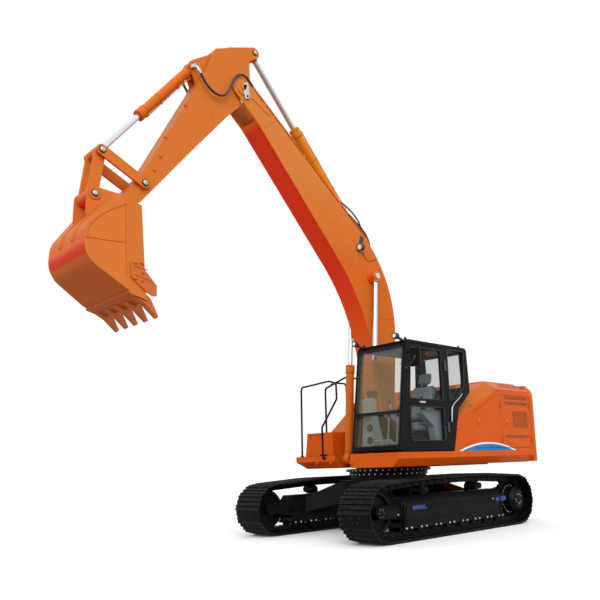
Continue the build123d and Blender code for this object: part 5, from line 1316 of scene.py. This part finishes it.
HOSE_RADIUS = 0.0185


def bead(shape, points, y, radius=0.0045):
    """A weld bead along points (x, z) on a side face."""
    shape.tube([(x, y, z) for x, z in points], radius, 8)


def boom_fittings():
    """Weld beads, head strips, lock plates and grease nipples of the boom."""
    welds, steel, bolts = (Shape() for _ in range(3))
    for side in (-1, 1):
        y = side * BOOM_SIDE
        for line in ((FORK_BEAD, *BOOM_BEADS) if side > 0 else BOOM_BEADS):
            bead(welds, line, y)
        welds.slab(rounded_loop(HEAD_STRIP, 0.016), y, y + side * 0.010, "y", 0.003)
        steel.slab(rounded_loop(LOCK_PLATE, 0.035, 6), side * 0.2065, side * 0.2200, "y", 0.002)
        for x, z in LOCK_BOLTS:
            bolts.bolt((x, side * 0.2195, z), side * Y, 0.015)
        for x, z in HEAD_NIPPLES:
            steel.turned((x, y, z), side * Y, [(0, 0.012), (0.010, 0.012), (0.013, 0.008)], 14)
    welds.tube([(1.531, -0.186, 4.918), (1.531, 0.186, 4.918)], 0.0045, 8)
    for x, z in LAMP_NIPPLES:
        steel.turned((x, BOOM_SIDE, z), Y, [(0, 0.010), (0.008, 0.010), (0.011, 0.006)], 12)
    wire = Shape().tube(flowing(LAMP_CABLE, 8), 0.0045, 8)
    piece("boom_weld_beads", welds, boom_paint, "boom_body")
    piece("boom_lock_plates", steel, zinc, "boom_body")
    piece("boom_lock_bolts", bolts, rubber, "boom_body")
    piece("work_lamp_cable", wire, rubber, "boom_body")


def work_lamp():
    """Lens, bezel and back of the boom's lamp, and the hoses along the boom's back."""
    lens, bezel, sleeve = (Shape() for _ in range(3))
    out = Vector((math.sin(LAMP_ANGLE), 0, math.cos(LAMP_ANGLE)))
    lens.turned(LAMP_PLACE + out * 0.030, out, BIG_LENS, 32)
    bezel.turned(LAMP_PLACE + out * 0.036, out, BIG_BEZEL, 36)
    bezel.turned(LAMP_PLACE - out * 0.040, -out, BIG_BACK, 28)
    for side in (-1, 1):
        sleeve.tube(flowing([(x, side * BACK_HOSE_Y, z) for x, z in BACK_HOSE], 8), HOSE_RADIUS, 12)
    piece("work_lamp_lens", lens, lamp_lens, "boom_body")
    piece("work_lamp_bezel", bezel, trim_plastic, "boom_body")
    piece("boom_back_hoses", sleeve, rubber, "boom_body")


ARM_BEADS = ([(3.824, 6.414), (3.752, 6.172)], [(3.770, 7.249), (3.954, 6.923)])
ARM_CLIPS = ((4.245, 6.265), (4.576, 5.680), (4.650, 5.378), (4.750, 5.154))
CLIP_TURN = math.radians(58)
CLIP_CAP = [(0, 0.012), (0.008, 0.011), (0.010, 0.007)]


def arm_fittings():
    """Weld beads on both sides of the arm and clips on its left."""
    welds = Shape()
    for side in (-1, 1):
        for line in ARM_BEADS:
            bead(welds, line, side * ARM_SIDE, 0.0035)
    for x, z in ARM_CLIPS:
        welds.block((x, ARM_SIDE + 0.006, z), (0.052, 0.016, 0.022), turned_by(CLIP_TURN, "Y"), 0.004)
        welds.turned((x - 0.010, ARM_SIDE + 0.012, z - 0.014), Y, CLIP_CAP, 14)
    piece("arm_weld_beads", welds, arm_paint, "arm_body")


# Pins by body: x, z and half length of each
PIN_ENDS = {
    "arm_body": ((4.915, 4.900, 0.205), (4.040, 6.970, 0.102), (2.885, 7.660, 0.102)),
    "rocker_body": ((5.518, 5.178, 0.203),),
    "bucket_body": ((5.180, 4.545, 0.217), (5.622, 4.570, 0.217)),
}
PIN_SEAL = [(0, 0.045), (0.010, 0.045), (0.013, 0.041), (0.013, 0.032)]
PIN_CAP = [(0, 0.033), (0.006, 0.033), (0.010, 0.027), (0.010, 0.012), (0.016, 0.010)]


def pin_caps():
    """Dust seals and end caps of the pins."""
    for body, rows in PIN_ENDS.items():
        seal, cap = Shape(), Shape()
        for x, z, reach in rows:
            for side in (-1, 1):
                seal.turned((x, side * (reach - 0.012), z), side * Y, PIN_SEAL, 28)
                cap.turned((x, side * (reach - 0.002), z), side * Y, PIN_CAP, 28)
        piece(body + "_pin_seals", seal, rubber, body)
        piece(body + "_pin_caps", cap, zinc, body)


HOSE_ROUTE = ((4.082, 0.112, 6.925), (4.078, 0.178, 6.905), (4.052, 0.212, 6.858), (4.010, 0.216, 6.785),
              (3.925, 0.212, 6.672), (3.799, 0.212, 6.592), (3.671, 0.212, 6.580), (3.555, 0.212, 6.650),
              (3.465, 0.212, 6.815), (3.390, 0.213, 6.990), (3.290, 0.214, 7.083), (3.174, 0.205, 7.090),
              (3.085, 0.182, 7.045), (2.984, 0.169, 6.977))
ELBOW_X = 3.9
ELBOW_Y = 0.210
NEAR_FERRULE = [(-0.008, 0.026), (0, 0.028), (0.022, 0.028), (0.026, 0.0215), (0.060, 0.0205)]
FAR_FERRULE = [(-0.045, 0.021), (-0.012, 0.021), (-0.010, 0.024), (0.010, 0.024), (0.012, 0.018),
               (0.022, 0.016)]


def arm_hoses():
    """The bent hoses that pass the arm pivot on both sides, their elbows and ferrules."""
    for side, word in ((1, "left"), (-1, "right")):
        line = flowing([(x, side * y, z) for x, y, z in HOSE_ROUTE], 10)
        made = piece("arm_hose_" + word, Shape().tube(line, HOSE_RADIUS, 16), hose_rubber, None)
        steel, far = Shape(), Shape()
        elbow = [p for p in line if abs(p.y) < ELBOW_Y and p.x > ELBOW_X]
        steel.tube(elbow, HOSE_RADIUS + 0.003, 14)
        steel.turned(elbow[-1], line[len(elbow) + 1] - elbow[-1], NEAR_FERRULE, 6)
        steel.block((4.082, side * 0.122, 6.922), (0.060, 0.040, 0.056), chamfer=0.006)
        far.turned(line[-1], line[-1] - line[-3], FAR_FERRULE, 6)
        piece("arm_hose_fitting_" + word, steel, zinc, "arm_body")
        piece("boom_hose_fitting_" + word, far, zinc, "boom_body")
        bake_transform(made)


# Cylinders: name, hand, foot and rod's eye as (x, z), y, tube's length, radii of tube, collar and rod,
# side of the feed pipe
CYLINDERS = (
    ("boom", "_left", (0.690, 1.220), (0.430, 4.380), 0.285, 1.650, 0.070, 0.080, 0.042, 1),
    ("boom", "_right", (0.690, 1.220), (0.430, 4.380), -0.285, 1.650, 0.070, 0.080, 0.042, -1),
    ("arm", "", (0.820, 5.400), (2.885, 7.660), 0.0, 1.760, 0.080, 0.090, 0.047, 1),
    ("bucket", "", (4.040, 6.970), (5.518, 5.178), 0.0, 1.360, 0.068, 0.078, 0.040, 1),
)
PIPE_START = 0.16
PIPE_END = 0.10
PIPE_STAND = 0.012
# Lean of the feed pipe towards the side and round the tube: on the arm's cylinder and on the others
PIPE_LEANS = {True: (0.55, 0.83), False: (0.35, -0.93)}
PIPE_CLAMPS = (0.34, 0.66)
CLAMP_SIZE = (0.030, 0.024, 0.034)
PIPE_BOSS = [(0, 0.020), (0.020, 0.020), (0.024, 0.015)]
# Lip of the rod's seal, as (distance, rise over the rod)
SEAL_LIP = ((0, 0.0005), (0, 0.011), (0.012, 0.009), (0.018, 0.004), (0.018, 0.0005))
COLLAR_RINGS = (0.145, 0.030)


def raised(radius, width, height, slope):
    """Profile of a raised ring on a round bar, with its foot just inside the bar."""
    foot, crest = radius + 0.0005, radius + height
    return [(0, radius - 0.001), (0, foot), (slope, crest), (width - slope, crest), (width, foot),
            (width, radius - 0.001)]


def cylinder_fittings():
    """Gland bolts, rod seals, feed pipes, clamps and collar rings of the cylinders."""
    for word, hand, foot, eye, y, length, tube, collar, rod, side in CYLINDERS:
        foot, eye = Vector((foot[0], y, foot[1])), Vector((eye[0], y, eye[1]))
        along, out = (eye - foot).normalized(), side * Y
        bolts, seal, pipe = (Shape() for _ in range(3))
        gland = foot + along * length
        bolts.ring_of_bolts(gland - along * 0.001, along, (collar + rod) / 2 + 0.003, 8, 0.0095, 0.2)
        lip = [(step, rod + rise) for step, rise in SEAL_LIP]
        seal.turned(gland - along * 0.004, along, lip, 28, hollow=True)
        aside, around = PIPE_LEANS[word == "arm"]
        direction = (out * aside + along.cross(out) * around).normalized()
        start, end = foot + along * PIPE_START, gland - along * PIPE_END
        lift = direction * (tube + PIPE_STAND)
        route = [start + direction * (tube - 0.010), start + lift * 1.25, start + along * 0.06 + lift * 1.22,
                 start + along * 0.10 + lift, end - along * 0.06 + lift, end + lift * 1.15,
                 end + direction * (collar - 0.010)]
        pipe.tube(flowing(route, 8), 0.0085, 10)
        turn = Matrix((along, direction, along.cross(direction))).transposed()
        for share in PIPE_CLAMPS:
            centre = foot + along * length * share
            pipe.turned(centre - along * 0.012, along, raised(tube, 0.024, 0.003, 0.002), 32, hollow=True)
            pipe.block(centre + lift + direction * 0.002, CLAMP_SIZE, turn, 0.004)
        for spot, base in ((start, tube), (end, collar)):
            pipe.turned(spot + direction * (base - 0.012), direction, PIPE_BOSS, 16)
        for ring in COLLAR_RINGS:
            seal.turned(gland - along * ring, along, raised(collar, 0.008, 0.002, 0.002), 36, hollow=True)
        name, body = word + "_cylinder" + hand, word + "_tube" + hand + "_body"
        piece(name + "_gland_bolts", bolts, cylinder_paint, body)
        piece(name + "_rod_seal", seal, cylinder_paint, body)
        piece(name + "_feed_pipe", pipe, cylinder_paint, body)


SHORT_HOSE = ((0.985, 0.060, 5.672), (0.900, 0.064, 5.632), (0.800, 0.075, 5.585), (0.706, 0.100, 5.500),
              (0.620, 0.120, 5.395), (0.560, 0.130, 5.260), (0.540, 0.130, 5.160))


def short_hoses():
    """The hoses from the boom's pipes to the arm cylinder."""
    hoses = Shape()
    for side in (-1, 1):
        hoses.tube(flowing([(x, side * y, z) for x, y, z in SHORT_HOSE], 8), 0.0135, 12)
    made = piece("arm_cylinder_hoses", hoses, rubber, None)
    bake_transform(made)


EYE_RING = [(-0.0508, 0.0385), (-0.0508, 0.0700), (-0.0465, 0.0758), (0.0465, 0.0758), (0.0508, 0.0700),
            (0.0508, 0.0385)]
EYE_COLLAR = [(0.060, 0.0421), (0.060, 0.050), (0.078, 0.0515), (0.112, 0.0490), (0.118, 0.0421)]


def rod_eyes():
    """Painted rod eyes and the collars that join them to the bright rods."""
    for word, hand, foot, eye, y, *_ in CYLINDERS:
        centre = Vector((eye[0], y, eye[1]))
        shape = Shape().turned(centre, Y, EYE_RING, 40, hollow=True)
        shape.turned(centre, Vector((foot[0], y, foot[1])) - centre, EYE_COLLAR, 32, hollow=True)
        name = word + "_rod" + hand
        piece(name + "_eye_cover", shape, cylinder_paint, name + "_body")


BUCKET_HALF = 0.575
# The bucket's side narrows behind this x
BUCKET_TAPER = (5.40, 0.07 / 0.56)
BUCKET_BEADS = (
    [(5.410, 4.360), (5.560, 4.275), (5.700, 4.175), (5.790, 4.085), (5.840, 4.010), (5.862, 3.930),
     (5.862, 3.850)],
    [(5.880, 3.870), (5.640, 3.870), (5.400, 3.885)],
    [(5.400, 4.380), (5.400, 3.900), (5.395, 3.480)],
)
CUTTER_BEADS = ([(5.300, 3.605), (5.120, 3.580)], [(5.290, 3.500), (5.060, 3.450)])
CUTTER_BOLTS = ((5.285, 3.650), (5.195, 3.660), (5.180, 3.545), (5.290, 3.455), (5.195, 3.440))
CUTTER_FACE = 0.5945


def bucket_side(x):
    """Half width over the bucket's side beads at x."""
    start, lean = BUCKET_TAPER
    return BUCKET_HALF + 0.001 - lean * max(0.0, x - start)


def bucket_fittings():
    """Weld beads and cutter bolts of the bucket."""
    welds, bolts = Shape(), Shape()
    for side in (-1, 1):
        for line in BUCKET_BEADS:
            welds.tube([(x, side * bucket_side(x), z) for x, z in line], 0.0065, 8)
        for x, z in CUTTER_BOLTS:
            bolts.bolt((x, side * CUTTER_FACE, z), side * Y, 0.021)
        for line in CUTTER_BEADS:
            bead(welds, line, side * (CUTTER_FACE + 0.0015), 0.007)
    piece("bucket_weld_beads", welds, bucket_paint, "bucket_body")
    piece("bucket_cutter_bolts", bolts, bucket_paint, "bucket_body")


hose_rubber = surface("hose_rubber", (0.018, 0.018, 0.019), 0.30, vary=0.2, patch=30.0, grain=500.0,
                      relief=0.0002, Coat_Weight=0.3, Coat_Roughness=0.15)
boom_fittings()
work_lamp()
arm_fittings()
pin_caps()
arm_hoses()
cylinder_fittings()
short_hoses()
rod_eyes()
bucket_fittings()
# Operator seat

SEAT_MIDDLE = 0.8725
SEAT_VOXEL = 0.009
SEAT_PRESSURE = 4
SEAT_STEPS = 20
SEAT_CORNER = 0.055
PIPING = 0.0035
SEAT_PAN_TURN = Matrix.Identity(3)
SEAT_BACK_TURN = Matrix(((-0.217, 0, 0.976), (0, -1, 0), (0.976, 0, 0.217))).transposed()


def settled(made):
    """Gives a piece the mesh that its modifiers make, and takes them off."""
    graph = bpy.context.evaluated_depsgraph_get()
    mesh = bpy.data.meshes.new_from_object(made.evaluated_get(graph), depsgraph=graph)
    made.modifiers.clear()
    made.data = mesh


def swollen(made, cap):
    """Cloth pressure fills a piece; no point moves further than cap."""
    cut = [vertex.co.copy() for vertex in made.data.vertices]
    cloth = made.modifiers.new("cloth", "CLOTH")
    cloth.settings.use_pressure = True
    cloth.settings.uniform_pressure_force = SEAT_PRESSURE
    cloth.settings.effector_weights.gravity = 0
    for step in range(1, SEAT_STEPS + 1):
        scene.frame_set(step)
    settled(made)
    scene.frame_set(1)
    for vertex, start in zip(made.data.vertices, cut):
        move = vertex.co - start
        if move.length > cap:
            vertex.co = start + move * (cap / move.length)


def cushion(name, size, centre, turn, cap, channels, bolster):
    """A sewn cushion: its cut form swollen by cloth, its channels pressed in, and its piping."""
    half_x, half_y, half_z = (s / 2 for s in size)
    outline = rounded_box(-half_x, -half_y, half_x, half_y, SEAT_CORNER, 6)
    layers = [(-half_z, 0.022), (-half_z + 0.016, 0.005), (-half_z * 0.4, 0.0), (half_z * 0.3, 0.0),
              (half_z - 0.018, 0.006), (half_z, 0.026)]
    shape = Shape().loft([[(x, y, z) for x, y in inset(outline, by)] for z, by in layers])
    made = piece(name, shape, seat_fabric, "upper", 180)
    grid = made.modifiers.new("grid", "REMESH")
    grid.mode = "VOXEL"
    grid.voxel_size = SEAT_VOXEL
    settled(made)
    swollen(made, cap)
    for vertex in made.data.vertices:
        x, y, z = vertex.co
        if z > 0:
            z += bolster * min(1.0, max(0.0, (abs(y) - half_y * 0.52) / (half_y * 0.28)))
            z -= 0.022 * max(0.0, (x - half_x * 0.62) / (half_x * 0.38)) ** 2
            for axis, where in channels:
                away = (x if axis == "x" else abs(y)) - where
                z -= 0.011 * math.exp(-(away / 0.007) ** 2)
        z = max(z, -half_z - 0.002)
        vertex.co = (x, y, z)
    smooth = made.modifiers.new("smooth", "SUBSURF")
    smooth.levels = smooth.render_levels = 1
    settled(made)
    mesh = made.data
    mesh.materials.clear()
    mesh.materials.append(seat_fabric)
    points = [vertex.co.copy() for vertex in mesh.vertices]
    skin = BVHTree.FromPolygons(points, [tuple(face.vertices) for face in mesh.polygons])
    whole = Matrix.Translation(centre) @ turn.to_4x4()
    seam = Shape()
    for height in (half_z - 0.016, -half_z + 0.014):
        loop = rounded_box(-half_x, -half_y, half_x, half_y, SEAT_CORNER, 8)
        seam.band([whole @ skin.find_nearest(Vector((x, y, height)))[0] for x, y in loop], PIPING)
    mesh.transform(whole)
    mesh.shade_smooth()
    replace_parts(made, "operator_seat")
    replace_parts(piece(name + "_piping", seam, seat_piping, "upper"), "operator_seat")


BELLOWS_FOLDS = 14
BELLOWS_FOOT = 1.395
BELLOWS_HEIGHT = 0.200
BELLOWS_DEPTH = 0.014
# Side bracket of the seat, as (x, z)
SEAT_BRACKET = [(-0.010, 1.660), (0.190, 1.640), (0.170, 1.730), (0.060, 1.860), (-0.012, 1.860)]
SEAT_KNOB = [(0, 0.026), (0.012, 0.026), (0.018, 0.018)]
# What the seat has on both sides, with y counted from its middle
SEAT_SLIDE = ((0.320, 0.165, 1.619), (0.500, 0.036, 0.022))
SLIDE_CATCH = ((0.530, 0.165, 1.622), (0.050, 0.014, 0.014))
BRACKET_LEVELS = (0.232, 0.243)
KNOB_PLACE = (0.070, 0.240, 1.760)
HEAD_POST = ((-0.015, 0.060, 2.400), (-0.035, 0.060, 2.480))
SEAT_SHELL = (-0.285, -0.195, 0.285, 0.195)
SHELL_LEVELS = (-0.068, -0.050)
SHELL_PLACE = Vector((0.050, SEAT_MIDDLE, 2.105))
# Plates under the cushion: centre's x and z, size
SEAT_PLATES = ((0.320, 1.383, (0.400, 0.400, 0.024), 0.006), (0.320, 1.602, (0.390, 0.380, 0.016), 0.005),
               (0.325, 1.636, (0.480, 0.430, 0.014), 0.005))


def seat_frame():
    """Pedestal, bellows, slides, pan, side brackets, back shell and head posts of the seat."""
    frame_parts, bellows, posts = Shape(), Shape(), Shape()
    mid = SEAT_MIDDLE
    outline = rounded_box(0.130, mid - 0.185, 0.510, mid + 0.185, 0.05, 5)
    rings = []
    for fold in range(BELLOWS_FOLDS + 1):
        z = BELLOWS_FOOT + BELLOWS_HEIGHT * fold / BELLOWS_FOLDS
        rings.append([(x, y, z) for x, y in inset(outline, BELLOWS_DEPTH * (fold % 2))])
    bellows.loft(rings)
    for x, z, size, chamfer in SEAT_PLATES:
        frame_parts.block((x, mid, z), size, chamfer=chamfer)
    bracket = rounded_loop(SEAT_BRACKET, 0.025, 5)
    for side in (-1, 1):
        slide, catch, knob, foot, head = (
            (x, mid + side * y, z) for x, y, z in (SEAT_SLIDE[0], SLIDE_CATCH[0], KNOB_PLACE, *HEAD_POST))
        frame_parts.block(slide, SEAT_SLIDE[1], chamfer=0.004)
        frame_parts.slab(bracket, *(mid + side * level for level in BRACKET_LEVELS), "y", 0.003)
        posts.turned(knob, (0, side, 0), SEAT_KNOB, 24)
        posts.rod(foot, head, 0.007, 12)
        posts.block(catch, SLIDE_CATCH[1], chamfer=0.003)
    start = len(frame_parts.points)
    frame_parts.slab(rounded_box(*SEAT_SHELL, 0.06, 6), *SHELL_LEVELS, "z", 0.006)
    frame_parts.shift(start, lambda p: SEAT_BACK_TURN @ p + SHELL_PLACE)
    for name, shape, material, slot in (("seat_frame", frame_parts, trim_plastic, "trim_plastic"),
                                        ("seat_bellows", bellows, rubber, "trim_plastic"),
                                        ("seat_posts", posts, zinc, "pin_steel")):
        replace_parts(piece(name, shape, material, "upper"), "operator_seat")


seat_piping = surface("seat_piping", (0.030, 0.032, 0.034), 0.60, vary=0.2, patch=20.0, grain=300.0,
                      relief=0.0002)
cushion("seat_cushion", (0.500, 0.440, 0.115), (0.330, SEAT_MIDDLE, 1.700), SEAT_PAN_TURN, 0.014,
        (("x", -0.080), ("x", 0.060), ("y", 0.125)), 0.016)
cushion("seat_back", (0.600, 0.430, 0.095), (0.052, SEAT_MIDDLE, 2.110), SEAT_BACK_TURN, 0.014,
        (("x", -0.120), ("x", 0.040), ("y", 0.120)), 0.018)
cushion("seat_headrest", (0.190, 0.235, 0.080), (-0.034, SEAT_MIDDLE, 2.528), SEAT_BACK_TURN, 0.010,
        (("y", 0.070),), 0.0)
seat_frame()
